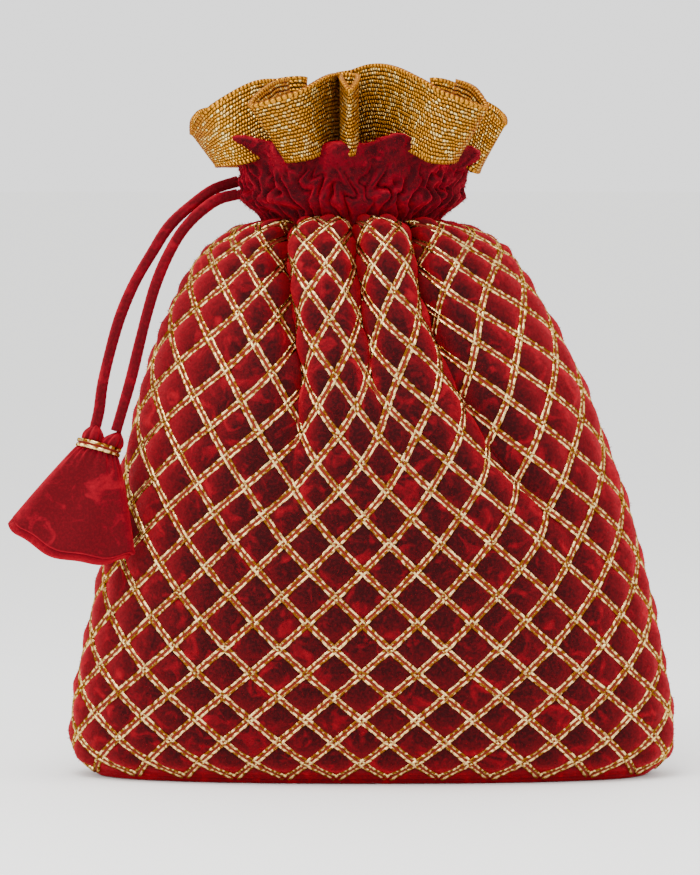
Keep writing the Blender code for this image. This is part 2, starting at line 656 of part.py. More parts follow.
def build():
    """Model the whole bag."""
    clear_scene()
    parts = new_collection("potli_bag")
    cutters = new_collection("cutters")
    velvet = new_material("crimson_velvet", (0.20, 0.002, 0.008), 0.85)
    plain_velvet = new_material("plain_crimson_velvet", (0.26, 0.003, 0.014), 0.85)
    braid = new_material("champagne_braid", (0.78, 0.60, 0.30), 0.35, 0.9)
    ribbon = new_material("gold_ribbon", (0.60, 0.32, 0.06), 0.4, 0.9)
    satin = new_material("crimson_cord", (0.28, 0.004, 0.015), 0.6)

    body = add_body(velvet, parts)
    add_braids(body, braid, parts)
    add_frill(plain_velvet, parts, cutters)
    add_ruffle(ribbon, parts)
    add_drawstring(satin, parts)
    add_tassel(plain_velvet, parts)
    add_band(braid, parts)


build()
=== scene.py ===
"""Potli bag in dark red velvet: gold braid lattice, gathered neck, ribbon ruffle and tassel.

The looks of the bag, piece by piece, in the order in which it is sewn and threaded.
Units are metres, +Z is up and the front faces -Y.
"""

import math

import bpy
import numpy as np
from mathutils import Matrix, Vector


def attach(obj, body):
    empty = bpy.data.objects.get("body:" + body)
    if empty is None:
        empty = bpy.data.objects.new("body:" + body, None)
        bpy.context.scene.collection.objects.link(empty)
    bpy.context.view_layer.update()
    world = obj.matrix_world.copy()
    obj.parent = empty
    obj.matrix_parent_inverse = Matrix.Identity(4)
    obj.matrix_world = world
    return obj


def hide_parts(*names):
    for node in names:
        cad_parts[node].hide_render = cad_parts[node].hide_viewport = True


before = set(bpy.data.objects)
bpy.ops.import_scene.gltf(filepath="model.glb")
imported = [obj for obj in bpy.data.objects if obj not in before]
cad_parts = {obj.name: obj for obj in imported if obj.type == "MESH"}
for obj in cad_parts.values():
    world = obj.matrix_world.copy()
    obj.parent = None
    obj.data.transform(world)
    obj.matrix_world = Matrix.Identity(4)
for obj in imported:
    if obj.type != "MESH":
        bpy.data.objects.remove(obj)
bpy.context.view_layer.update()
MM = 0.001

# Camera: a long lens, nearly level with the bag and square to its front.
# The 297.5 mm from the top of the picture to its foot are measured at the middle of the bag.
LOOK_AT = Vector((-7.6, 0.0, 115.0)) * MM
LOOK_DOWN = math.radians(3.5)
PICTURE_HEIGHT = 297.5 * MM
LENS = 180.0

camera = bpy.data.objects.new("camera", bpy.data.cameras.new("camera"))
camera.data.sensor_fit = "VERTICAL"
camera.data.sensor_height = 36.0
camera.data.lens = LENS
distance = LENS * PICTURE_HEIGHT / camera.data.sensor_height
camera.location = LOOK_AT + distance * Vector((0.0, -math.cos(LOOK_DOWN), math.sin(LOOK_DOWN)))
camera.rotation_euler = (math.pi / 2 - LOOK_DOWN, 0.0, 0.0)
bpy.context.scene.collection.objects.link(camera)
bpy.context.scene.camera = camera


# Studio: a wide floor of white paper under an even white tent.
# Softboxes above, at both sides and in front leave a soft shadow round the foot of the bag.
PAPER = "#FAFAF8"
FLOOR_RADIUS = 40.0
TENT_LIGHT = 1.7
SOFTBOXES = (
    ("top", (-120, -260, 820), 420, 6.5),
    ("left", (-760, -520, 420), 360, 3.6),
    ("right", (760, -420, 360), 360, 1.8),
    ("front", (60, -1250, 620), 260, 1.8),
)


def linear(hex_colour):
    """Turn an sRGB hex colour into linear red, green, blue and alpha."""
    parts = np.array([int(hex_colour[i:i + 2], 16) / 255 for i in (1, 3, 5)])
    parts = np.where(parts <= 0.04045, parts / 12.92, ((parts + 0.055) / 1.055) ** 2.4)
    return (*(float(part) for part in parts), 1.0)


def grid_piece(name, points, round_u=False, round_v=False, uv=None, flip=False):
    """Make an object from a grid of points, closed round one or both ways where asked.

    Quad i, j joins the grid's points i, i+1 and j, j+1; a closed way wraps to its start.
    """
    count_u, count_v = points.shape[:2]
    i = np.arange(count_u if round_u else count_u - 1)
    j = np.arange(count_v if round_v else count_v - 1)
    i, j = np.meshgrid(i, j, indexing="ij")
    after_i = (i + 1) % count_u
    after_j = (j + 1) % count_v
    quads = np.stack((i * count_v + j, after_i * count_v + j,
                      after_i * count_v + after_j, i * count_v + after_j), -1).reshape(-1, 4)
    if flip:
        quads = quads[:, ::-1]
    mesh = bpy.data.meshes.new(name)
    mesh.vertices.add(count_u * count_v)
    mesh.vertices.foreach_set("co", points.reshape(-1).astype(np.float32))
    mesh.loops.add(quads.size)
    mesh.loops.foreach_set("vertex_index", quads.reshape(-1).astype(np.int32))
    mesh.polygons.add(len(quads))
    mesh.polygons.foreach_set("loop_start", np.arange(0, quads.size, 4, dtype=np.int32))
    if uv is not None:
        layer = mesh.uv_layers.new(name="UVMap")
        corners = np.stack((np.stack((i, j), -1), np.stack((i + 1, j), -1),
                            np.stack((i + 1, j + 1), -1), np.stack((i, j + 1), -1)), 2)
        corners = corners.reshape(-1, 4, 2)[:, ::-1] if flip else corners.reshape(-1, 4, 2)
        layer.data.foreach_set("uv", uv(corners.reshape(-1, 2)).reshape(-1).astype(np.float32))
    mesh.update(calc_edges=True)
    mesh.validate()
    mesh.shade_smooth()
    item = bpy.data.objects.new(name, mesh)
    bpy.context.scene.collection.objects.link(item)
    return item


def add_node(tree, kind, links=None, **settings):
    """Add a node, set its properties, and fill its inputs with values or with other sockets."""
    item = tree.nodes.new(kind)
    for key, value in settings.items():
        setattr(item, key, value)
    for key, value in (links or {}).items():
        if isinstance(value, bpy.types.NodeSocket):
            tree.links.new(value, item.inputs[key])
        else:
            item.inputs[key].default_value = value
    return item


def new_material(name):
    """Add an empty node material and return it with its node tree and its shader."""
    material = bpy.data.materials.new(name)
    material.use_nodes = True
    return material, material.node_tree, material.node_tree.nodes["Principled BSDF"]


floor_radius = np.array((0.0, 0.5, 2.0, FLOOR_RADIUS))
floor_round = np.linspace(0.0, 2 * math.pi, 96, endpoint=False)[:, None]
paper_floor = grid_piece("paper_floor", np.stack(
    (floor_radius * np.cos(floor_round), floor_radius * np.sin(floor_round),
     np.zeros((96, 4))), -1), round_u=True, flip=True)
paper, tree, shader = new_material("white_paper")
shader.inputs["Base Color"].default_value = linear(PAPER)
shader.inputs["Roughness"].default_value = 0.9
paper_floor.data.materials.append(paper)

for name, place, size, power in SOFTBOXES:
    light = bpy.data.objects.new("softbox_" + name, bpy.data.lights.new("softbox_" + name, "AREA"))
    light.data.size = size * MM
    light.data.energy = power
    light.location = Vector(place) * MM
    light.rotation_euler = (LOOK_AT - light.location).to_track_quat("-Z", "Y").to_euler()
    bpy.context.scene.collection.objects.link(light)
world = bpy.data.worlds.new("studio")
world.use_nodes = True
world.node_tree.nodes["Background"].inputs["Color"].default_value = (1.0, 1.0, 1.0, 1.0)
world.node_tree.nodes["Background"].inputs["Strength"].default_value = TENT_LIGHT
bpy.context.scene.world = world


# Drawstring: one velvet cord, rolled from a strip and sewn along its seam with small stitches.
# It runs round the neck inside the frill, and both ends hang down the left side to the tassel.
CORD_DIAMETER = 3.6 * MM
CORD_STITCH = 2.4 * MM
CORD_FLAT = 0.10
STITCH_DIP = 0.28 * MM
# Cord velvet: the crimson is painted sheen towards the silhouettes, the shade colour where the pile faces
# the view.
CORD_SHEEN_CRIMSON = "#A8001E"
CORD_SHADE = "#480008"
OUTER_STRAND = ((-93.6, -21.6, 117.5), (-92.0, -20.0, 124.0), (-90.6, -18.6, 134.0), (-88.4, -16.8, 144.0),
                (-84.2, -14.0, 158.4), (-79.9, -11.5, 168.3), (-74.4, -9.0, 177.8),
                (-68.5, -6.0, 187.0), (-61.0, -3.0, 194.1), (-53.9, 0.0, 199.2),
                (-45.6, 2.2, 202.0))
NECK_LOOP = ((-38.6, 3.4, 201.2), (-31.5, 7.0, 199.6), (-21.0, 12.0, 199.0), (-7.0, 14.0, 199.0),
             (7.5, 11.8, 199.0), (16.8, 6.6, 199.0), (19.6, 0.0, 199.0), (16.8, -6.6, 199.0),
             (7.5, -11.8, 199.0), (-7.0, -14.0, 199.0), (-21.0, -12.0, 198.8),
             (-31.5, -7.0, 198.2), (-38.6, -3.4, 197.6))
INNER_STRAND = ((-45.6, -3.0, 197.6), (-51.8, -4.0, 196.0), (-58.0, -6.0, 191.8),
                (-64.1, -8.0, 185.3), (-68.9, -10.5, 177.1), (-72.6, -13.0, 168.3),
                (-75.7, -15.5, 157.8), (-78.4, -17.5, 147.0), (-81.0, -19.2, 136.0),
                (-83.8, -20.6, 126.0), (-86.0, -21.8, 118.5))


def smooth_route(points, step):
    """Points along the spline that passes through the given points, one step apart.

    Each stretch is a cubic whose slopes come from the two neighbouring points.
    """
    points = np.asarray(points, float)
    chord = np.concatenate(([0.0], np.cumsum(np.linalg.norm(np.diff(points, axis=0), axis=1))))
    slopes = np.gradient(points, chord, axis=0)
    count = max(2, int(round(chord[-1] / step)) + 1)
    at = np.linspace(0.0, chord[-1], count)
    left = np.clip(np.searchsorted(chord, at, side="right") - 1, 0, len(chord) - 2)
    span = (chord[left + 1] - chord[left])[:, None]
    t = ((at - chord[left]) / span[:, 0])[:, None]
    return ((2 * t**3 - 3 * t**2 + 1) * points[left] + (t**3 - 2 * t**2 + t) * span * slopes[left]
            + (3 * t**2 - 2 * t**3) * points[left + 1] + (t**3 - t**2) * span * slopes[left + 1])


def unit(vectors):
    """Vectors scaled to a length of one."""
    return vectors / np.maximum(np.linalg.norm(vectors, axis=-1, keepdims=True), 1e-12)


def path_frames(route, side):
    """Two directions across a path at each point: towards the given side, and square to it."""
    along = unit(np.gradient(route, axis=0))
    across = unit(np.asarray(side, float) - along * (along @ np.asarray(side, float))[:, None])
    return across, np.cross(along, across)


def rolled_cord(name, points, side):
    """Tube of rolled velvet along a route, with a stitched groove down one side.

    The radius is that of the cord, pressed in at the seam by a narrow bell curve that is
    deepest at each stitch, and swelled a little between the stitches.
    """
    route = smooth_route(np.asarray(points) * MM, 0.45 * MM)
    length = np.concatenate(([0.0], np.cumsum(np.linalg.norm(np.diff(route, axis=0), axis=1))))
    turn = np.linspace(0.0, 2 * math.pi, 28, endpoint=False)
    across, square = path_frames(route, side)
    along, turn = np.meshgrid(length, turn, indexing="ij")
    pull = 0.5 + 0.5 * np.cos(2 * math.pi * along / CORD_STITCH)
    seam = np.exp(-((np.mod(turn + math.pi, 2 * math.pi) - math.pi) / 0.34) ** 2)
    wander = 0.06 * np.sin(along / (5.3 * MM) + 1.7 * np.cos(turn)) * MM
    radius = CORD_DIAMETER / 2 * (1 - CORD_FLAT * 0.3 * np.cos(2 * turn)) + wander
    radius = radius - seam * (0.35 + 0.65 * pull) * STITCH_DIP + 0.06 * MM * (1 - pull)
    ring = (across[:, None] * np.cos(turn)[..., None] + square[:, None] * np.sin(turn)[..., None])
    points = route[:, None] + ring * radius[..., None]
    turns = points.shape[1]
    return grid_piece(name, closed_ends(points), round_v=True, flip=True, uv=lambda corner: np.stack(
        (corner[:, 0] * length[-1] / (len(length) - 1) / MM, corner[:, 1] / turns), -1)), route


def closed_ends(points):
    """A tube's rings with each end drawn in to its middle, so that the tube is closed."""
    first = np.repeat(points[:1].mean(axis=1, keepdims=True), points.shape[1], axis=1)
    last = np.repeat(points[-1:].mean(axis=1, keepdims=True), points.shape[1], axis=1)
    return np.concatenate((first, points, last))


def velvet(name, dark, bright, nap, pile=0.30, clump=1.0):
    """Velvet as node material: short upright silk pile on a woven ground.

    Painted sheen: the base colour is dark where the pile faces the view and bright towards its
    silhouettes. Where it has been stroked or pressed it leans, so patches of it turn lighter.
    """
    material, tree, shader = new_material(name)
    place = add_node(tree, "ShaderNodeTexCoord").outputs["Object"]
    patches = add_node(tree, "ShaderNodeTexNoise", {"Vector": place, "Scale": 1 / (nap * MM),
                                                    "Detail": 3.0, "Distortion": 1.2})
    tufts = add_node(tree, "ShaderNodeTexNoise", {"Vector": place, "Scale": 1 / (clump * MM),
                                                  "Detail": 2.0})
    hairs = add_node(tree, "ShaderNodeTexNoise", {"Vector": place, "Scale": 1 / (pile * MM),
                                                  "Detail": 2.0})
    # Painted sheen: the Layer Weight facing brightens the base colour towards the silhouettes.
    painted_sheen = add_node(tree, "ShaderNodeLayerWeight", {"Blend": 0.28}).outputs["Facing"]
    lean = add_node(tree, "ShaderNodeMapRange", {"Value": patches.outputs["Fac"], "From Min": 0.54,
                    "From Max": 0.80, "To Min": 0.0, "To Max": 0.42}, clamp=True).outputs["Result"]
    speckle = add_node(tree, "ShaderNodeMapRange", {"Value": tufts.outputs["Fac"], "From Min": 0.3,
                       "From Max": 0.8, "To Min": -0.05, "To Max": 0.10}).outputs["Result"]
    light = add_node(tree, "ShaderNodeMath", {0: painted_sheen, 1: lean}, operation="ADD").outputs[0]
    light = add_node(tree, "ShaderNodeMath", {0: light, 1: speckle}, operation="ADD",
                     use_clamp=True).outputs[0]
    # Base colour: painted sheen from dark to bright, lightened in leaned patches and flecked.
    colour = add_node(tree, "ShaderNodeMix", {0: light, 6: linear(dark), 7: linear(bright)},
                      data_type="RGBA")
    tree.links.new(colour.outputs[2], shader.inputs["Base Color"])
    height = add_node(tree, "ShaderNodeMath", {0: tufts.outputs["Fac"], 1: hairs.outputs["Fac"]},
                      operation="ADD").outputs[0]
    bump = add_node(tree, "ShaderNodeBump", {"Height": height, "Strength": 0.6,
                                             "Distance": 0.35 * MM})
    tree.links.new(bump.outputs["Normal"], shader.inputs["Normal"])
    shader.inputs["Roughness"].default_value = 0.85
    shader.inputs["Specular IOR Level"].default_value = 0.1
    shader.inputs["Sheen Weight"].default_value = 0.12
    shader.inputs["Sheen Roughness"].default_value = 0.35
    shader.inputs["Sheen Tint"].default_value = linear(bright)
    return material


cord_velvet = velvet("cord_velvet", CORD_SHADE, CORD_SHEEN_CRIMSON, nap=9.0, pile=0.35, clump=0.9)
outer_cord, outer_route = rolled_cord("cord_outer_strand", OUTER_STRAND, (0.3, -1.0, 0.4))
inner_cord, inner_route = rolled_cord("cord_inner_strand", INNER_STRAND, (0.3, -1.0, 0.4))
ring_cord, ring_route = rolled_cord("cord_round_neck", (OUTER_STRAND[-1], *NECK_LOOP,
                                                        INNER_STRAND[0]), (0.0, 0.0, 1.0))
for cord in (outer_cord, inner_cord, ring_cord):
    cord.data.materials.append(cord_velvet)
    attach(cord, "root")
    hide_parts("drawstring")


# Tassel: a square of velvet gathered under two knots, so that it opens like a skirt.
# A second layer shows behind the front one.
TASSEL_LENGTH = 36.5 * MM
TASSEL_FOOT = (21.4 * MM, 6.0 * MM)
TASSEL_CINCH = (6.6 * MM, 4.0 * MM)
TASSEL_KNOT_HEIGHT = 6 * MM
TASSEL_LEAN = math.radians(15.5)
TASSEL_PITCH = math.radians(-10)
BAND_MIDDLE = np.array((-91.8, -22.5, 113.0)) * MM
BAND_HEIGHT = 2.8 * MM
CLOTH = 1.3 * MM
# Tassel velvet: the bright colour is painted sheen towards the silhouettes, the dark one where the pile
# faces the view.
TASSEL_DARK = "#4A0008"
TASSEL_SHEEN = "#B00020"

tassel_down = unit(np.array((-math.sin(TASSEL_LEAN), math.sin(TASSEL_PITCH),
                             -math.cos(TASSEL_LEAN))))
tassel_across = np.array((math.cos(TASSEL_LEAN), 0.0, -math.sin(TASSEL_LEAN)))
tassel_back = unit(np.cross(tassel_across, tassel_down))


def in_tassel(across, back, down):
    """Points at distances across, behind and down from the middle of the tassel's band."""
    return (BAND_MIDDLE + across[..., None] * tassel_across + back[..., None] * tassel_back
            + down[..., None] * tassel_down)


def tassel_skirt(inset):
    """Skirt and cinch as one surface, drawn in by the wall's inset.

    The half width grows from the cinch to the foot with the power 0.85 of the way down, the
    depth with the power 0.6. Four soft pleats fan out, and the hem dips in the middle.
    """
    share = np.linspace(0.0, 1.0, 60)[:, None]
    angle = np.linspace(0.0, 2 * math.pi, 140, endpoint=False)[None]
    side, front = np.cos(angle), np.sin(angle)
    down = BAND_HEIGHT / 2 + (0.84 * TASSEL_LENGTH - BAND_HEIGHT / 2) * share
    width = TASSEL_CINCH[0] + (TASSEL_FOOT[0] - TASSEL_CINCH[0]) * share ** 0.85
    depth = TASSEL_CINCH[1] + (TASSEL_FOOT[1] - TASSEL_CINCH[1]) * share ** 0.6
    pleat = 1 + 0.13 * share ** 0.7 * np.cos(5 * angle + 0.6 + 0.8 * share) + 0.05 * np.cos(
        9 * angle - 1.0) * (1 - share)
    gather = 1 + 0.10 * np.exp(-share / 0.10) * np.cos(22 * angle)
    drop = 0.16 * TASSEL_LENGTH * share ** 2 * (1 - side ** 2) + 0.5 * MM * share ** 3 * np.cos(
        7 * angle)
    sag = 0.9 * MM * np.sin(math.pi * share) * np.cos(3 * angle + 2.0)
    return in_tassel((width * side - np.sign(side) * inset * np.abs(side)) * gather,
                     (depth * front * pleat + sag * front) * gather - inset * front,
                     down + drop)


def tassel_knots():
    """Two folded ends of the square above the band, side by side, as one closed bulb each."""
    bulbs = []
    for middle, lean, tall in ((-2.8 * MM, 0.02, 9.0 * MM), (2.9 * MM, 0.30, 8.4 * MM)):
        share = np.linspace(0.0, 1.0, 40)[:, None]
        angle = np.linspace(0.0, 2 * math.pi, 64, endpoint=False)[None]
        girth = (0.30 + 0.70 * np.sin(math.pi * np.minimum(share * 0.92 + 0.14, 1.0))) * np.sqrt(
            np.clip(1 - share ** 6, 0.0, 1.0))
        crease = 1 + 0.10 * np.cos(5 * angle + 2.0 * share) + 0.06 * np.cos(11 * angle)
        across = middle + lean * tall * share + 3.5 * MM * girth * crease * np.cos(angle)
        back = 3.4 * MM * girth * crease * np.sin(angle) + 0.0 * share
        bulbs.append(in_tassel(across, back, -tall * share + 1.0 * MM + 0.0 * angle))
    return bulbs


tassel_velvet = velvet("tassel_velvet", TASSEL_DARK, TASSEL_SHEEN, nap=7.0, pile=0.30, clump=0.8)
outside = tassel_skirt(0.0)
inside = tassel_skirt(CLOTH)
rim = (outside[-1:] * 0.5 + inside[-1:] * 0.5) + 0.5 * CLOTH * tassel_down
skirt = grid_piece("tassel_skirt", np.concatenate((outside, rim, inside[::-1])), round_v=True)
left_knot, right_knot = (
    grid_piece(name, closed_ends(points), round_v=True)
    for name, points in zip(("tassel_knot_left", "tassel_knot_right"), tassel_knots()))
behind = tassel_skirt(0.35 * CLOTH)
behind = behind + np.linspace(0, 1, behind.shape[0])[:, None, None] ** 1.5 * (
    1.6 * MM * tassel_back + 2.0 * MM * tassel_down - 1.4 * MM * tassel_across)
back_rim = behind[-1:] - CLOTH * tassel_back * 0.2 + 0.4 * CLOTH * tassel_down
back_layer = grid_piece("tassel_back_layer", np.concatenate((behind, back_rim, tassel_skirt(
    CLOTH)[::-1])), round_v=True)
for part in (skirt, left_knot, right_knot, back_layer):
    part.data.materials.append(tassel_velvet)
    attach(part, "root")
    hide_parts("tassel_cone")


# Body: stuffed velvet, drawn in at the neck so that the cloth falls in folds from there.
# Its velvet puffs up in every diamond between the braids that are sewn down on it.
BASE_WIDTH = 203 * MM
BELLY_DEPTH = 97 * MM
SEAM_HEIGHT = 189 * MM
NECK_WIDTH = 58 * MM
NECK_DEPTH = 34 * MM
NECK_LEAN = 7 * MM
FOLD_DEPTH = 12.5 * MM
FOLD_WALL = 1.15
FOLD_DEEPEST_ROW = 20
PUFF = 1.7 * MM
DIAMONDS_ROUND = 25
HALF_ROWS = 24
# Body velvet: the bright colour is painted sheen towards the silhouettes, the dark one where the pile
# faces the view.
VELVET_DARK = "#280002"
VELVET_SHEEN = "#B2001C"
PROFILE_ROWS = (0, 1, 3, 5, 7, 9, 11, 13, 15, 17, 19, 20, 21, 22, 23, 24)
PROFILE_HEIGHT = (0.012, 0.042, 0.122, 0.206, 0.296, 0.389, 0.484, 0.579, 0.677, 0.780, 0.877,
                  0.921, 0.960, 0.990, 1.004, 1.0)
PROFILE_WIDTH = (0.930, 0.990, 1.0, 0.960, 0.909, 0.847, 0.785, 0.709, 0.625, 0.514, 0.399,
                 0.345, 0.295, 0.235, 0.145, 0.0)
PROFILE_DEPTH = (0.317, 0.444, 0.603, 0.746, 0.857, 0.937, 0.984, 1.0, 0.952, 0.810, 0.620,
                 0.524, 0.413, 0.270, 0.127, 0.0)
PROFILE_LEAN = (0.0, 0.0, 0.0, 0.0, -0.04, -0.04, 0.04, 0.24, 0.43, 0.64, 0.78, 0.80,
                0.80, 0.82, 0.90, 1.0)
PROFILE_SIDE_RISE = (0.0, 0.0, 0.0, 0.0, 1.0, 2.0, 3.0, 4.0, 5.0, 4.5, 2.0, 0.0, -3.0, -5.0,
                     -4.0, -1.0)
FRONT_SHIFT = 0.0118
# Each fold's valley: (row, diamonds from the front column, share of the way round) down from
# the neck, then the row where it fades and its depth against FOLD_DEPTH.
VALLEYS = (
    (((24, -2.9, -0.112), (22, -2.8, -0.110), (19, -2.6, -0.082), (16, -2.3, -0.060),
      (13, -2.1, -0.061), (10, -2.0, -0.068)), 9.0, 1.0),
    (((24, 0.25, -0.003), (22, 0.25, -0.003), (19, 0.25, 0.004), (16, 0.25, 0.010),
      (13, 0.25, 0.020), (10, 0.25, 0.022)), 13.5, 0.8),
    (((24, 3.0, 0.090), (22, 3.0, 0.089), (19, 2.8, 0.079), (16, 2.5, 0.087),
      (13, 2.8, 0.110), (10, 3.7, 0.155)), 6.5, 0.95),
    (((24, 7.4, 0.300), (22, 7.4, 0.300), (19, 7.4, 0.303), (16, 7.4, 0.305),
      (13, 7.4, 0.307), (10, 7.4, 0.308)), 9.5, 0.62),
    (((24, 10.8, 0.425), (22, 10.8, 0.425), (19, 10.7, 0.434), (16, 10.6, 0.436),
      (13, 10.6, 0.436), (10, 10.6, 0.436)), 12.0, 0.80),
    (((24, 14.2, 0.570), (22, 14.2, 0.570), (19, 14.3, 0.578), (16, 14.4, 0.584),
      (13, 14.5, 0.590), (10, 14.6, 0.596)), 8.5, 0.95),
    (((24, 17.6, 0.710), (22, 17.6, 0.710), (19, 17.6, 0.713), (16, 17.6, 0.715),
      (13, 17.6, 0.716), (10, 17.6, 0.716)), 10.5, 0.75),
)


def smooth_curve(knots, values, at):
    """Cubic through the values at the knots, with each slope taken from the two neighbours."""
    knots = np.asarray(knots, float)
    values = np.asarray(values, float)
    slopes = np.gradient(values, knots)
    at = np.clip(at, knots[0], knots[-1])
    left = np.clip(np.searchsorted(knots, at, side="right") - 1, 0, len(knots) - 2)
    span = knots[left + 1] - knots[left]
    t = (at - knots[left]) / span
    return ((2 * t**3 - 3 * t**2 + 1) * values[left] + (t**3 - 2 * t**2 + t) * span * slopes[left]
            + (3 * t**2 - 2 * t**3) * values[left + 1] + (t**3 - t**2) * span * slopes[left + 1])


def smooth_step(value):
    """Rise from 0 to 1 with level ends."""
    value = np.clip(value, 0.0, 1.0)
    return value * value * (3 - 2 * value)


def oval(half_width, half_depth, exponent, share):
    """Points of a superellipse at shares of its length from the front, and outward normals."""
    turn = np.linspace(0.0, 2 * math.pi, 721)
    x = half_width * np.sign(np.sin(turn)) * np.abs(np.sin(turn)) ** (2 / exponent)
    y = -half_depth * np.sign(np.cos(turn)) * np.abs(np.cos(turn)) ** (2 / exponent)
    length = np.concatenate(([0.0], np.cumsum(np.hypot(np.diff(x), np.diff(y)))))
    length /= length[-1]
    share = np.mod(share, 1.0)
    near = 0.004
    point = np.stack((np.interp(share, length, x), np.interp(share, length, y)), -1)
    ahead, behind = np.mod(share + near, 1.0), np.mod(share - near, 1.0)
    dx = np.interp(ahead, length, x) - np.interp(behind, length, x)
    dy = np.interp(ahead, length, y) - np.interp(behind, length, y)
    return point, np.stack((dy, -dx), -1) / np.hypot(dx, dy)[..., None]


def valleys_at(row):
    """Fabric position, share of the way round and depth of each valley at one row."""
    places = []
    for knots, fade, weight in VALLEYS:
        rows, fabric, share = np.array(knots[::-1]).T
        position = float(smooth_curve(rows, fabric, row))
        even = position / DIAMONDS_ROUND + FRONT_SHIFT
        held = float(smooth_step((row - 8) / 3))
        angle = held * float(smooth_curve(rows, share, row)) + (1 - held) * even
        depth = weight * FOLD_DEPTH * float(smooth_step((row - fade) / (FOLD_DEEPEST_ROW - fade)))
        shut = 1 - 0.55 * float(smooth_step((row - 22) / 2))
        places.append((position, angle, depth * shut))
    return np.array(places).T


def body_row(row, fabric):
    """Points of the body at one row of the cloth, for positions in diamonds round the bag.

    Each lobe between two valleys lies on a superellipse. Near a valley the cloth turns
    inwards by one minus the sine of its distance, so the way round grows slower there.
    """
    height = float(smooth_curve(PROFILE_ROWS, PROFILE_HEIGHT, row)) * SEAM_HEIGHT
    wide = float(smooth_curve(PROFILE_ROWS, PROFILE_WIDTH, row))
    deep = float(smooth_curve(PROFILE_ROWS, PROFILE_DEPTH, row))
    lean = float(smooth_curve(PROFILE_ROWS, PROFILE_LEAN, row)) * NECK_LEAN
    rise = float(smooth_curve(PROFILE_ROWS, PROFILE_SIDE_RISE, row)) * MM
    half_width = (NECK_WIDTH + (BASE_WIDTH - NECK_WIDTH) * wide) / 2
    half_depth = (NECK_DEPTH + (BELLY_DEPTH - NECK_DEPTH) * deep) / 2
    exponent = 2.0 + 0.35 * (1 - float(smooth_step(row / 10)))

    position, angle, depth = valleys_at(row)
    fabric = np.mod(np.asarray(fabric, float) - position[0], DIAMONDS_ROUND)
    edges = np.append(position - position[0], DIAMONDS_ROUND)
    angles = np.append(angle, angle[0] + 1)
    depths = np.append(depth, depth[0])
    lobe = np.clip(np.searchsorted(edges, fabric, side="right") - 1, 0, len(position) - 1)
    width = edges[lobe + 1] - edges[lobe]
    along = (fabric - edges[lobe]) / width
    fold = np.minimum(1.0, (depths[lobe] + depths[lobe + 1]) / (2 * FOLD_DEPTH))
    warped = along - 0.45 * fold * np.sin(2 * math.pi * along) / (2 * math.pi)
    share = angles[lobe] + (angles[lobe + 1] - angles[lobe]) * warped
    wall = np.minimum(FOLD_WALL, width / 2)
    from_left = np.clip((fabric - edges[lobe]) / wall, 0, 1)
    from_right = np.clip((edges[lobe + 1] - fabric) / wall, 0, 1)
    inset = (depths[lobe] * (1 - np.sin(from_left * math.pi / 2))
             + depths[lobe + 1] * (1 - np.sin(from_right * math.pi / 2)))
    point, normal = oval(half_width, half_depth, exponent, share)
    ring = point - normal * inset[:, None]
    sideways = (point[:, 0] / half_width) ** 2
    z = height + rise * sideways - 0.25 * inset * float(smooth_step((row - 19) / 3))
    return np.column_stack((ring[:, 0] - lean, ring[:, 1], z))


CLOTH_COLUMNS = 400
CLOTH_ROWS = 236
cloth_rows = np.linspace(0.0, HALF_ROWS, CLOTH_ROWS)
cloth_fabric = np.arange(CLOTH_COLUMNS) / CLOTH_COLUMNS * DIAMONDS_ROUND
cloth_plain = np.stack([body_row(row, cloth_fabric) for row in cloth_rows])


def outward(points):
    """Outward normals of the body's grid, from the slopes along its rows and columns."""
    round_way = np.roll(points, -1, axis=1) - np.roll(points, 1, axis=1)
    up_way = np.gradient(points, axis=0)
    return unit(np.cross(round_way, up_way))


def waves(place, period, seed):
    """Smooth unevenness between -1 and 1: five crossed sine waves of about one period."""
    total = np.zeros(place.shape[:-1])
    for step in range(5):
        turn = seed + 2.4 * step
        way = np.array((math.cos(turn) * math.cos(step), math.sin(turn), math.sin(step * 1.7)))
        total += np.sin(place @ way * (2 * math.pi / period) * (0.8 + 0.13 * step) + turn * 3)
    return total / 5


def puff(rows, fabric):
    """Rise of the velvet at a row and a fabric position: nothing under a braid, full between.

    It is the power 0.7 of the product of the two families' squared sines, softened.
    """
    falling = np.abs(np.sin(math.pi * (fabric + rows / 2)))
    rising = np.abs(np.sin(math.pi * (fabric - rows / 2)))
    return np.clip(falling * rising, 0.0, 1.0) ** 0.7


cloth_row_grid, cloth_fabric_grid = np.meshgrid(cloth_rows, cloth_fabric, indexing="ij")
cloth_normals = outward(cloth_plain)
fullness = puff(cloth_row_grid, cloth_fabric_grid) * smooth_step(cloth_row_grid / 0.8)
fullness = fullness * (1 + 0.30 * waves(cloth_plain, 31 * MM, 1.0))
ruck = 0.20 * MM * waves(cloth_plain, 4.6 * MM, 4.0) + 0.11 * MM * waves(cloth_plain, 2.1 * MM, 7.0)
cloth = cloth_plain + cloth_normals * (PUFF * fullness + ruck * fullness)[..., None]
cloth[..., 2] = np.maximum(cloth[..., 2], 0.6 * MM)
base_share = np.array((0.97, 0.9, 0.75, 0.5, 0.25, 0.0))[:, None, None]
base = cloth[:1] * base_share * np.array((1.0, 1.0, 0.0)) + np.array((0.0, 0.0, 0.3 * MM))
inner = cloth_plain[::-12] - cloth_normals[::-12] * 1.4 * MM
inner[..., 2] = np.maximum(inner[..., 2], 2.0 * MM)
inner_base = inner[-1:] * base_share * np.array((1.0, 1.0, 0.0)) + np.array((0.0, 0.0, 2.0 * MM))
body_points = np.concatenate((base[::-1], cloth, inner, inner_base))
body = grid_piece("velvet_body", body_points, round_v=True, flip=True)
body_velvet = velvet("body_velvet", VELVET_DARK, VELVET_SHEEN, nap=8.0)
body.data.materials.append(body_velvet)
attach(body, "root")
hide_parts("bag_body")


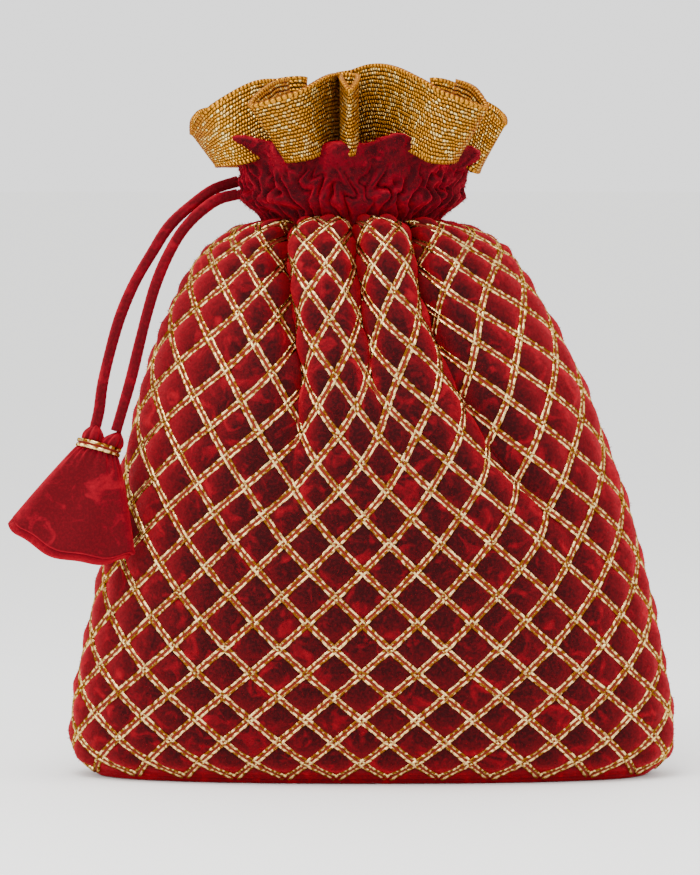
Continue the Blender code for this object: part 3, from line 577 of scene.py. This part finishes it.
def pile_tufts(name, points, normals, fullness, count, length, seed):
    """Tufts of silk pile standing on a cloth, each a closed spike on a three-cornered foot.

    Each stands at a chance place on the grid, along its normal, leaning by a chance amount.
    Tufts are left out where the cloth is held down, that is where its fullness is low.
    """
    chance = np.random.default_rng(seed)
    size_u, size_v = points.shape[:2]
    u, v = chance.random(count) * (size_u - 1), chance.random(count) * size_v
    i, j = np.minimum(u.astype(int), size_u - 2), v.astype(int) % size_v
    s, t, k = (u - i)[:, None], (v - np.floor(v))[:, None], (j + 1) % size_v
    foot = ((1 - s) * ((1 - t) * points[i, j] + t * points[i, k])
            + s * ((1 - t) * points[i + 1, j] + t * points[i + 1, k]))
    normal = normals[i, j]
    kept = fullness[i, j] > 0.35
    foot, normal = foot[kept], normal[kept]
    number = len(foot)
    lean = chance.normal(0.0, 0.38, (number, 3)) + np.array((0.0, 0.0, -0.25))
    tall = length * (0.6 + 0.6 * chance.random((number, 1)))
    side = unit(np.cross(normal, chance.normal(0.0, 1.0, (number, 3))))
    other = np.cross(normal, side)
    girth = 0.11 * MM
    sunk = foot - normal * 0.15 * MM
    corners = [sunk + girth * (math.cos(turn) * side + math.sin(turn) * other)
               for turn in (0.0, 2 * math.pi / 3, 4 * math.pi / 3)]
    tip = foot + unit(normal + lean) * tall
    vertices = np.stack((*corners, tip), 1).reshape(-1, 3)
    first = np.arange(number)[:, None] * 4
    faces = np.concatenate([first + np.array(face) for face in
                            ((0, 1, 3), (1, 2, 3), (2, 0, 3), (2, 1, 0))])
    mesh = bpy.data.meshes.new(name)
    mesh.from_pydata(vertices.tolist(), [], faces.tolist())
    mesh.shade_smooth()
    item = bpy.data.objects.new(name, mesh)
    bpy.context.scene.collection.objects.link(item)
    return item


body_pile = pile_tufts("velvet_body_pile", cloth, cloth_normals, fullness, 20000, 1.0 * MM, 11)
body_pile.data.materials.append(body_velvet)
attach(body_pile, "root")


# Braids: 25 rising and 25 falling gold braids, sewn down over the velvet in diamonds.
# Each is two flat metallic wires with a red silk thread between, woven at every crossing.
BRAID_HALF_WIDTH = 1.30 * MM
WIRE_RISE = 0.34 * MM
WIRE_TWIST = 3.3 * MM
WEAVE = 0.13 * MM
BRAID_LIFT = 0.50 * MM
# Braid golds: the wire colour is painted in dashes from deep to pale gold as painted glints; the pale gold
# also tints the metal's edges.
GOLD_PALE = "#E9C883"
GOLD_DEEP = "#6E4312"
THREAD_RED = "#6A0010"


def body_points_at(rows, fabric, lift):
    """Points lifted off the plain body at paired rows and fabric positions, with normals."""
    u = rows / HALF_ROWS * (CLOTH_ROWS - 1)
    v = np.mod(fabric / DIAMONDS_ROUND, 1.0) * CLOTH_COLUMNS
    i = np.clip(u.astype(int), 0, CLOTH_ROWS - 2)
    j = v.astype(int) % CLOTH_COLUMNS
    s, t = (u - i)[..., None], (v - np.floor(v))[..., None]
    k = (j + 1) % CLOTH_COLUMNS

    def blend(grid):
        return ((1 - s) * ((1 - t) * grid[i, j] + t * grid[i, k])
                + s * ((1 - t) * grid[i + 1, j] + t * grid[i + 1, k]))

    normal = unit(blend(cloth_normals))
    return blend(cloth_plain) + normal * lift, normal


def braid_family(name, direction):
    """All braids of one direction as one mesh of flat ribbons that follow the body.

    Across a braid the height is a flat top for each wire with a groove between. Along it the
    wires tip from side to side, which gives their dashes of light, and they rise and dip by a
    sine at each crossing so that the two families weave.
    """
    steps = 530
    rows = np.linspace(0.05, HALF_ROWS - 0.05, steps)
    across = np.array((-1.0, -0.96, -0.66, -0.34, -0.30, 0.0, 0.30, 0.34, 0.66, 0.96, 1.0))
    wire = np.array((0.0, 0.85, 1.0, 0.85, 0.10, 0.30, 0.10, 0.85, 1.0, 0.85, 0.0))
    side = np.array((0.0, -1.0, 0.0, 1.0, 0.0, 0.0, 0.0, -1.0, 0.0, 1.0, 0.0))
    number = np.array((-1, -1, -1, -1, 0, 0, 0, 1, 1, 1, 1))
    vertices, quads, marks = [], [], []
    for index in range(DIAMONDS_ROUND):
        fabric = index + direction * rows / 2
        middle, normal = body_points_at(rows, fabric, BRAID_LIFT)
        along = unit(np.gradient(middle, axis=0))
        over = unit(np.cross(along, normal)) * direction
        length = np.concatenate(([0.0], np.cumsum(np.linalg.norm(np.diff(middle, axis=0), axis=1))))
        phase = rows * math.pi
        weave = WEAVE * np.cos(phase)[:, None] * number * direction
        tip = 0.07 * MM * np.sin(2 * math.pi * length / WIRE_TWIST + 1.9 * index)[:, None] * side
        height = WIRE_RISE * wire + weave + tip * 0.8
        height[:, (0, -1)] = -0.6 * MM
        pinch = 1 - 0.10 * np.cos(2 * phase)[:, None] ** 8
        place = (middle[:, None] + over[:, None] * (across * BRAID_HALF_WIDTH * pinch)[..., None]
                 + normal[:, None] * height[..., None])
        place[..., 2] = np.maximum(place[..., 2], 0.5 * MM)
        vertices.append(place)
        marks.append(length)
    count = len(across)
    grid = np.arange(steps * count).reshape(steps, count)
    quad = np.stack((grid[:-1, :-1], grid[1:, :-1], grid[1:, 1:], grid[:-1, 1:]), -1).reshape(-1, 4)
    for index in range(DIAMONDS_ROUND):
        quads.append(quad + index * steps * count)
    points = np.concatenate([place.reshape(-1, 3) for place in vertices])
    quads = np.concatenate(quads)
    if direction > 0:
        quads = quads[:, ::-1]
    mesh = bpy.data.meshes.new(name)
    mesh.from_pydata(points.tolist(), [], quads.tolist())
    corner = quads.reshape(-1) % (steps * count)
    which = quads.reshape(-1) // (steps * count)
    u = across[corner % count] * BRAID_HALF_WIDTH / MM
    v = np.array(marks)[which, corner // count] / MM
    layer = mesh.uv_layers.new(name="UVMap")
    layer.data.foreach_set("uv", np.column_stack((u, v)).reshape(-1).astype(np.float32))
    mesh.update()
    mesh.shade_smooth()
    item = bpy.data.objects.new(name, mesh)
    bpy.context.scene.collection.objects.link(item)
    return item


def zari():
    """Metallic gold wire, rolled flat: bumped by hammered facets, whose noise also paints its colour
    in dashes from deep to pale gold as painted glints.

    The wires are gold where the braid's own width says so, and the silk between is red.
    """
    material, tree, shader = new_material("zari_braid")
    place = add_node(tree, "ShaderNodeUVMap", uv_map="UVMap").outputs["UV"]
    parts = add_node(tree, "ShaderNodeSeparateXYZ", {"Vector": place})
    off = add_node(tree, "ShaderNodeMath", {0: parts.outputs["X"]}, operation="ABSOLUTE").outputs[0]
    on_wire = add_node(tree, "ShaderNodeMapRange", {"Value": off, "From Min": 0.38,
                       "From Max": 0.44}, clamp=True).outputs["Result"]
    dashes = add_node(tree, "ShaderNodeMapping", {"Vector": place, "Scale": (0.45, 0.62, 1.0)})
    facets = add_node(tree, "ShaderNodeTexNoise", {"Vector": dashes.outputs["Vector"],
                                                   "Scale": 1.0, "Detail": 1.0})
    # Painted glints: the facet noise mixes the wire colour in dashes from deep to pale gold.
    painted_glint_tone = add_node(tree, "ShaderNodeMapRange", {"Value": facets.outputs["Fac"], "From Min": 0.44,
                    "From Max": 0.60}, clamp=True).outputs["Result"]
    gold = add_node(tree, "ShaderNodeMix", {0: painted_glint_tone, 6: linear(GOLD_DEEP), 7: linear(GOLD_PALE)},
                    data_type="RGBA").outputs[2]
    colour = add_node(tree, "ShaderNodeMix", {0: on_wire, 6: linear(THREAD_RED), 7: gold},
                      data_type="RGBA").outputs[2]
    tree.links.new(colour, shader.inputs["Base Color"])
    tree.links.new(on_wire, shader.inputs["Metallic"])
    shader.inputs["Specular Tint"].default_value = linear(GOLD_PALE)
    rough = add_node(tree, "ShaderNodeMapRange", {"Value": on_wire, "To Min": 0.7, "To Max": 0.26})
    tree.links.new(rough.outputs["Result"], shader.inputs["Roughness"])
    bump = add_node(tree, "ShaderNodeBump", {"Height": facets.outputs["Fac"], "Strength": 0.8,
                                             "Distance": 0.5 * MM})
    tree.links.new(bump.outputs["Normal"], shader.inputs["Normal"])
    return material


braid_gold = zari()
for family, direction in (("rising", 1), ("falling", -1)):
    braids = braid_family("braids_" + family, direction)
    braids.data.materials.append(braid_gold)
    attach(braids, "root")
    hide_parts(*("braid_%s_%02d" % (family, index + 1) for index in range(DIAMONDS_ROUND)))


# Tassel band: one length of the same braid wound round the tassel under its knots.
# Its ends are tucked in behind, and the velvet bulges a little above and below it.
BAND_OUT = 0.45 * MM
band_across = np.array((-1.0, -0.97, -0.60, -0.20, -0.13, 0.0, 0.13, 0.20, 0.60, 0.97, 1.0, 0.0))
band_height = np.array((0.0, 0.8, 1.0, 0.8, 0.15, 0.12, 0.15, 0.8, 1.0, 0.8, 0.0, -1.0))
band_turn = np.linspace(0.0, 2 * math.pi, 200, endpoint=False)[:, None]
band_tip = 0.10 * MM * np.sin(17 * band_turn) * np.sign(band_across) * (band_height > 0.5)
band_out = BAND_OUT + 0.55 * MM * band_height + band_tip
band = grid_piece("tassel_band_braid", in_tassel(
    (TASSEL_CINCH[0] + band_out) * np.cos(band_turn), (TASSEL_CINCH[1] + band_out) * np.sin(band_turn),
    band_across * BAND_HEIGHT / 2 + 0.0 * band_turn), round_u=True, round_v=True,
    uv=lambda corner: np.stack((np.append(band_across, -1.0)[corner[:, 1].astype(int)] * 1.45,
                                corner[:, 0] / 200 * 36.0), -1))
band.data.materials.append(braid_gold)
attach(band, "root")
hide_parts("tassel_band")


# Neck frill: plain velvet above the drawstring's casing, pulled into small upright gathers.
# The gathers jog where the cord crosses them, and the edge above rolls out in soft petals.
NECK_MIDDLE = np.array((-7.0, 0.0)) * MM
FRILL_FOOT = 187.5 * MM
FRILL_TOP = 216.0 * MM
FRILL_HALF = (38.5 * MM, 24.5 * MM)
FRILL_FOOT_HALF = (29.5 * MM, 17.5 * MM)
MOUTH_HALF = (21.0 * MM, 8.5 * MM)
FRILL_GATHERS = 38
GATHER_DEEP = 4.0 * MM
# Frill velvet: the bright colour is painted sheen towards the silhouettes, the dark one where the pile
# faces the view.
FRILL_DARK = "#300006"
FRILL_SHEEN = "#B40022"
# Petals, each the way round from the front in degrees, its half width in degrees, how far it
# stands out and how far its lip rises, in millimetres.
PETALS = (
    (-62, 15, 4.0, 5.5), (-33, 13, 3.0, 2.4), (-5, 12, 4.6, 1.6), (21, 11, 2.0, 6.0),
    (42, 15, 5.0, 3.6), (74, 16, 3.6, -1.5), (112, 16, 3.6, 2.0), (148, 15, 4.2, 3.0),
    (180, 14, 3.0, 1.0), (212, 15, 4.0, 3.2), (250, 17, 3.4, 2.0),
)


def bell(distance, width):
    """Bell curve of a distance in degrees round the neck, for petals and hollows."""
    distance = np.mod(distance + 180.0, 360.0) - 180.0
    return np.exp(-(distance / width) ** 2)


frill_up = np.linspace(0.0, 1.0, 72)[:, None]
frill_turn = np.linspace(-180.0, 180.0, 600, endpoint=False)[None]
stand = sum(out * bell(frill_turn - middle, width) for middle, width, out, rise in PETALS) * MM
rise = sum(lift * bell(frill_turn - middle, width) for middle, width, out, lift in PETALS) * MM
hollow = 1 - np.clip(sum(bell(frill_turn - middle, width * 0.72) for middle, width, *rest
                         in PETALS), 0.0, 1.0)
outer_share = np.clip(frill_up / 0.62, 0.0, 1.0)
lip_share = np.clip((frill_up - 0.62) / 0.16, 0.0, 1.0)
mouth_share = np.clip((frill_up - 0.78) / 0.22, 0.0, 1.0)
swell = smooth_step(outer_share / 0.36)
jog = 3.0 * np.sin(outer_share * 12.0 + 2.4 * np.sin(np.radians(frill_turn) * 9)) + 1.8 * np.sin(
    outer_share * 21.0 + 3.0 * np.sin(np.radians(frill_turn) * 13 + 1.0))
gather_phase = np.radians(frill_turn + jog) * FRILL_GATHERS + 1.3 * np.sin(
    np.radians(frill_turn) * 3) + 0.9 * np.sin(np.radians(frill_turn) * 7 + 2)
ridge = np.abs(np.sin(gather_phase / 2)) ** 0.62
gather = (ridge - 0.75) * GATHER_DEEP * (1 - 0.85 * smooth_step((outer_share - 0.45) / 0.35))
gather = gather * (0.75 + 0.30 * np.sin(np.radians(frill_turn) * 11 + outer_share * 9.0))
pinch = 1.3 * MM * np.exp(-((outer_share - 0.42) / 0.10) ** 2)
petal = smooth_step((outer_share - 0.45) / 0.5) * (1 - 0.6 * lip_share)
roll = 5.2 * MM * np.sin(np.pi * np.clip((frill_up - 0.44) / 0.34, 0.0, 1.0))
half_x = (FRILL_FOOT_HALF[0] + (FRILL_HALF[0] - FRILL_FOOT_HALF[0]) * swell) * (1 - lip_share) + (
    (FRILL_HALF[0] - 4.5 * MM) * lip_share)
half_y = (FRILL_FOOT_HALF[1] + (FRILL_HALF[1] - FRILL_FOOT_HALF[1]) * swell) * (1 - lip_share) + (
    (FRILL_HALF[1] - 4.5 * MM) * lip_share)
inward = smooth_step(mouth_share)
half_x = half_x * (1 - inward) + MOUTH_HALF[0] * inward
half_y = half_y * (1 - inward) + MOUTH_HALF[1] * inward
outward_extra = (gather - pinch + petal * (stand - hollow * 4.6 * MM) + roll * 0.5) * (1 - inward)
wave = np.radians(frill_turn)
radius_x = half_x + outward_extra
radius_y = half_y + outward_extra
level = FRILL_FOOT + (FRILL_TOP - 3.0 * MM - FRILL_FOOT) * outer_share ** 0.9
crown = level + petal * (0.7 * rise - hollow * 1.2 * MM) + 1.6 * MM * np.sin(np.pi * lip_share) * (
    1 - mouth_share) - 16.0 * MM * mouth_share ** 1.3
frill = np.stack((NECK_MIDDLE[0] + radius_x * np.sin(wave), NECK_MIDDLE[1] - radius_y * np.cos(wave),
                  crown + 0.0 * wave), -1)
frill_normals = unit(np.cross(np.roll(frill, -1, axis=1) - np.roll(frill, 1, axis=1),
                              np.gradient(frill, axis=0)))
frill = frill + frill_normals * (0.30 * MM * waves(frill, 3.6 * MM, 2.0)
                                 + 0.16 * MM * waves(frill, 1.7 * MM, 5.0))[..., None]
frill_inner = np.array(frill[:1])
frill_inner[..., :2] = NECK_MIDDLE + (frill_inner[..., :2] - NECK_MIDDLE) * 0.80
frill_piece = grid_piece("neck_frill_velvet", np.concatenate((frill, frill_inner, frill[:1])),
                         round_v=True, flip=True)
frill_velvet = velvet("frill_velvet", FRILL_DARK, FRILL_SHEEN, nap=7.0, pile=0.32, clump=1.1)
frill_piece.data.materials.append(frill_velvet)
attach(frill_piece, "root")
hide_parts("neck_frill")
frill_pile = pile_tufts("neck_frill_pile", frill[:58], frill_normals, np.ones(frill.shape[:2]),
                        10000, 1.1 * MM, 12)
frill_pile.data.materials.append(frill_velvet)
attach(frill_pile, "root")


# Ruffle: woven metallic ribbon, set in the neck on edge so that it swings in and out in flutes.
# Gold weft wires cross a finer warp in rows, and both edges are whipped with gold thread.
RIBBON_THICKNESS = 0.8 * MM
RUFFLE_FOOT = np.array((-7.0, 0.0, 189.0)) * MM
# Ruffle colours: the shade is painted shade in the pits and between the whip stitches; the light gold is
# painted glints on chosen wires.
RUFFLE_GOLD = "#BE8020"
RUFFLE_SHADE = "#3E2204"
RUFFLE_PAINTED_GLINT = "#FFE08A"
WEFT_PITCH = 1.35 * MM
WARP_PITCH = 1.15 * MM
WHIP_PITCH = 1.45 * MM
EDGE_WIDTH = 1.3 * MM
RUFFLE_RULINGS = (
    ((-45, -14, 18), (-53.5, 6, 29)), ((-35, -19, 19), (-46, -8, 38)),
    ((-26, -9, 22.5), (-33, -5, 45)), ((-21, -2, 23), (-25, 3, 46.5)),
    ((-17.5, -6, 22.5), (-21.5, -5, 45)), ((-19, -14, 22), (-26, -19, 42)),
    ((-21.5, -26, 19.5), (-32, -37, 35.5)), ((-13.5, -28, 20.5), (-17.6, -39, 40)),
    ((-7.5, -21, 23.5), (-8, -26, 44)), ((-3.8, -15.5, 23.5), (-4, -17.5, 44)),
    ((-3.4, -25, 22), (-3.4, -31, 41)), ((-0.8, -28.5, 21.5), (-0.8, -40, 39)),
    ((1.8, -25, 22), (1.8, -31, 41)), ((1.5, -14, 23.5), (1.0, -16, 44.5)),
    ((-3.2, -9.5, 24), (-4.7, -10, 48)), ((0.5, -5.5, 25), (0, -6, 50)),
    ((7, -10, 27), (7, -13, 51.4)), ((13.5, -17, 26), (14.7, -22, 50.7)),
    ((20, -25, 22.5), (23, -31, 47)), ((25.5, -28, 19.5), (30, -37, 42)),
    ((31.5, -26, 19), (37, -37, 35)), ((35, -20, 20), (42, -31, 32)),
    ((32, -13, 22.5), (38.5, -20, 37)), ((27.5, -5.5, 23), (34, -6, 43)),
    ((34, -4.5, 22), (44, 8, 35)), ((40.5, -10, 16), (51.4, 5, 31)),
    ((43, 4, 17), (51, 17, 36)), ((35, 12, 22), (41, 24, 42)),
    ((24, 8, 23), (28, 11, 47)), ((24, 25, 20.5), (30, 37, 41)),
    ((15, 29, 20.5), (16, 42, 40)), ((8, 11, 23), (8, 14, 48)),
    ((0, 10, 23), (0, 13, 49)), ((-3, 29, 20.5), (-5, 42, 40)),
    ((-13, 28, 20.5), (-18, 39, 41)), ((-13, 11, 23), (-16, 13, 47)),
    ((-20, 9, 23), (-26, 12, 45)), ((-29, 23, 19), (-40, 31, 38)),
    ((-38, 15, 18), (-49, 23, 34)), ((-43, 2, 18), (-53, 15, 31)),
)


def closed_curve(points):
    """Points along a closed cubic through the given ones, and the place of each among them.

    Each slope is half of the step between the two neighbouring points.
    """
    points = np.asarray(points, float)
    number = len(points)
    at = np.linspace(0.0, number, 4001)
    left = np.minimum(at.astype(int), number - 1)
    t = (at - left)[:, None]
    slopes = (np.roll(points, -1, axis=0) - np.roll(points, 1, axis=0)) / 2
    right = (left + 1) % number
    curve = ((2 * t**3 - 3 * t**2 + 1) * points[left] + (t**3 - 2 * t**2 + t) * slopes[left]
             + (3 * t**2 - 2 * t**3) * points[right] + (t**3 - t**2) * slopes[right])
    return curve, at


def ruffle_rulings(count):
    """Lower and upper points of the ribbon at evenly spaced places along its middle line."""
    rulings = np.array(RUFFLE_RULINGS, float) * MM
    low, at = closed_curve(rulings[:, 0])
    high, at = closed_curve(rulings[:, 1])
    middle = (low + high) / 2
    length = np.concatenate(([0.0], np.cumsum(np.linalg.norm(np.diff(middle, axis=0), axis=1))))
    even = np.linspace(0.0, length[-1], count, endpoint=False)
    low = np.stack([np.interp(even, length, low[:, axis]) for axis in range(3)], -1)
    high = np.stack([np.interp(even, length, high[:, axis]) for axis in range(3)], -1)
    return RUFFLE_FOOT + low, RUFFLE_FOOT + high, length[-1]


RUFFLE_COLUMNS = 900
ruffle_low, ruffle_high, ruffle_length = ruffle_rulings(RUFFLE_COLUMNS)
ribbon_across = unit(ruffle_high - ruffle_low)
ribbon_width = 25.6 * MM
profile_v = np.concatenate((np.linspace(0.0, 1.0, 28), np.linspace(1.0, 0.0, 28)))
profile_side = np.concatenate((np.full(28, 1.0), np.full(28, -1.0)))
ribbon_along = unit(np.roll(ruffle_low + ruffle_high, -1, axis=0)
                    - np.roll(ruffle_low + ruffle_high, 1, axis=0))
ribbon_normal = unit(np.cross(ribbon_along, ribbon_across))
edge = 0.5 * np.exp(-(profile_v * ribbon_width / (0.9 * MM)) ** 2) + np.exp(
    -((1 - profile_v) * ribbon_width / (1.0 * MM)) ** 2)
places = np.arange(RUFFLE_COLUMNS) / RUFFLE_COLUMNS * ruffle_length
whips = round(ruffle_length / WHIP_PITCH)
whip = np.abs(np.sin(math.pi * whips * places / ruffle_length))[:, None] ** 0.7
half_thick = RIBBON_THICKNESS / 2 + edge[None] * (0.10 + 0.42 * whip) * MM
flop = 0.5 * MM * np.sin(places / (7.3 * MM))[:, None] * profile_v[None] ** 3
ribbon = (ruffle_low[:, None] + ribbon_across[:, None] * (profile_v * ribbon_width)[None, :, None]
          + ribbon_normal[:, None] * (profile_side * half_thick + flop)[..., None])
ruffle = grid_piece("gold_ruffle_ribbon", ribbon, round_u=True, round_v=True, uv=lambda corner:
                    np.stack((corner[:, 0] / RUFFLE_COLUMNS * ruffle_length / MM,
                              np.interp(corner[:, 1] % 56, np.arange(57), np.append(profile_v, 0.0))
                              * ribbon_width / MM), -1))


def woven_metal(name):
    """Woven gold lame: bright flat wires in rows, with painted shade in the pits between them.

    One wave along the ribbon and one across make the rows of oval wires, which are offset by
    half a wire from row to row; noise bends them and gives chosen wires painted glints. Both
    whipped edges get painted shade between their stitches.
    """
    material, tree, shader = new_material(name)

    def math_node(operation, first, second=0.0, third=0.0):
        return add_node(tree, "ShaderNodeMath", {0: first, 1: second, 2: third},
                        operation=operation).outputs[0]

    place = add_node(tree, "ShaderNodeUVMap", uv_map="UVMap").outputs["UV"]
    bend = add_node(tree, "ShaderNodeTexNoise", {"Vector": place, "Scale": 0.35, "Detail": 2.0})
    shift = add_node(tree, "ShaderNodeVectorMath", {0: bend.outputs["Color"], 1: (0.5, 0.5, 0.5)},
                     operation="SUBTRACT").outputs[0]
    bent = add_node(tree, "ShaderNodeVectorMath", {0: shift, 1: (1.3, 1.3, 0.0), 2: place},
                    operation="MULTIPLY_ADD").outputs[0]
    parts = add_node(tree, "ShaderNodeSeparateXYZ", {"Vector": bent})
    row = math_node("DIVIDE", parts.outputs["Y"], WEFT_PITCH / MM)
    number = math_node("FLOOR", row)
    half = math_node("MULTIPLY", math_node("MODULO", number, 2.0), 0.5)
    column = math_node("ADD", math_node("DIVIDE", parts.outputs["X"], WARP_PITCH / MM), half)
    wave_row = math_node("ABSOLUTE", math_node("SINE", math_node("MULTIPLY", row, math.pi)))
    wave_column = math_node("ABSOLUTE", math_node("SINE", math_node("MULTIPLY", column, math.pi)))
    bead = math_node("MULTIPLY", math_node("POWER", wave_row, 0.6),
                     math_node("POWER", wave_column, 0.45))
    cell = add_node(tree, "ShaderNodeCombineXYZ", {"X": math_node("FLOOR", column), "Y": number})
    chance = add_node(tree, "ShaderNodeTexWhiteNoise", {"Vector": cell.outputs[0]},
                      noise_dimensions="3D").outputs["Value"]
    # Painted glints: white noise per wire lightens chosen wires' colour towards the light gold.
    painted_glint = add_node(tree, "ShaderNodeMapRange", {"Value": chance, "From Min": 0.55, "From Max": 1.0,
                     "To Max": 0.9}, clamp=True).outputs["Result"]
    # Painted shade: the pits between the wires are darkened towards the shade colour.
    deep = add_node(tree, "ShaderNodeMapRange", {"Value": bead, "From Min": 0.25, "From Max": 0.8},
                    clamp=True).outputs["Result"]
    gold = add_node(tree, "ShaderNodeMix", {0: painted_glint, 6: linear(RUFFLE_GOLD),
                    7: linear(RUFFLE_PAINTED_GLINT)}, data_type="RGBA").outputs[2]
    colour = add_node(tree, "ShaderNodeMix", {0: deep, 6: linear(RUFFLE_SHADE), 7: gold},
                      data_type="RGBA").outputs[2]
    flat = add_node(tree, "ShaderNodeSeparateXYZ", {"Vector": place})
    from_middle = math_node("ABSOLUTE", math_node("SUBTRACT", flat.outputs["Y"], ribbon_width / MM / 2))
    on_edge = math_node("GREATER_THAN", from_middle, ribbon_width / MM / 2 - EDGE_WIDTH / MM)
    turn = math_node("MULTIPLY", flat.outputs["X"], math.pi * whips / (ruffle_length / MM))
    stitch = math_node("POWER", math_node("ABSOLUTE", math_node("SINE", turn)), 0.6)
    # Painted shade in the slots between the whip stitches on both edges.
    thread = add_node(tree, "ShaderNodeMix", {0: stitch, 6: linear(RUFFLE_SHADE),
                      7: linear(RUFFLE_GOLD)}, data_type="RGBA").outputs[2]
    colour = add_node(tree, "ShaderNodeMix", {0: on_edge, 6: colour, 7: thread},
                      data_type="RGBA").outputs[2]
    bead = add_node(tree, "ShaderNodeMix", {0: on_edge, 2: bead, 3: stitch}).outputs[0]
    tree.links.new(colour, shader.inputs["Base Color"])
    height = math_node("ADD", bead, math_node("MULTIPLY", chance, 0.5))
    bump = add_node(tree, "ShaderNodeBump", {"Height": height, "Strength": 1.0,
                                             "Distance": 0.6 * MM})
    tree.links.new(bump.outputs["Normal"], shader.inputs["Normal"])
    shader.inputs["Metallic"].default_value = 0.85
    shader.inputs["Specular Tint"].default_value = linear(RUFFLE_GOLD)
    rough = add_node(tree, "ShaderNodeMapRange", {"Value": chance, "To Min": 0.42, "To Max": 0.24})
    tree.links.new(rough.outputs["Result"], shader.inputs["Roughness"])
    return material


ruffle.data.materials.append(woven_metal("woven_gold_lame"))
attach(ruffle, "root")
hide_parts("gold_ruffle")
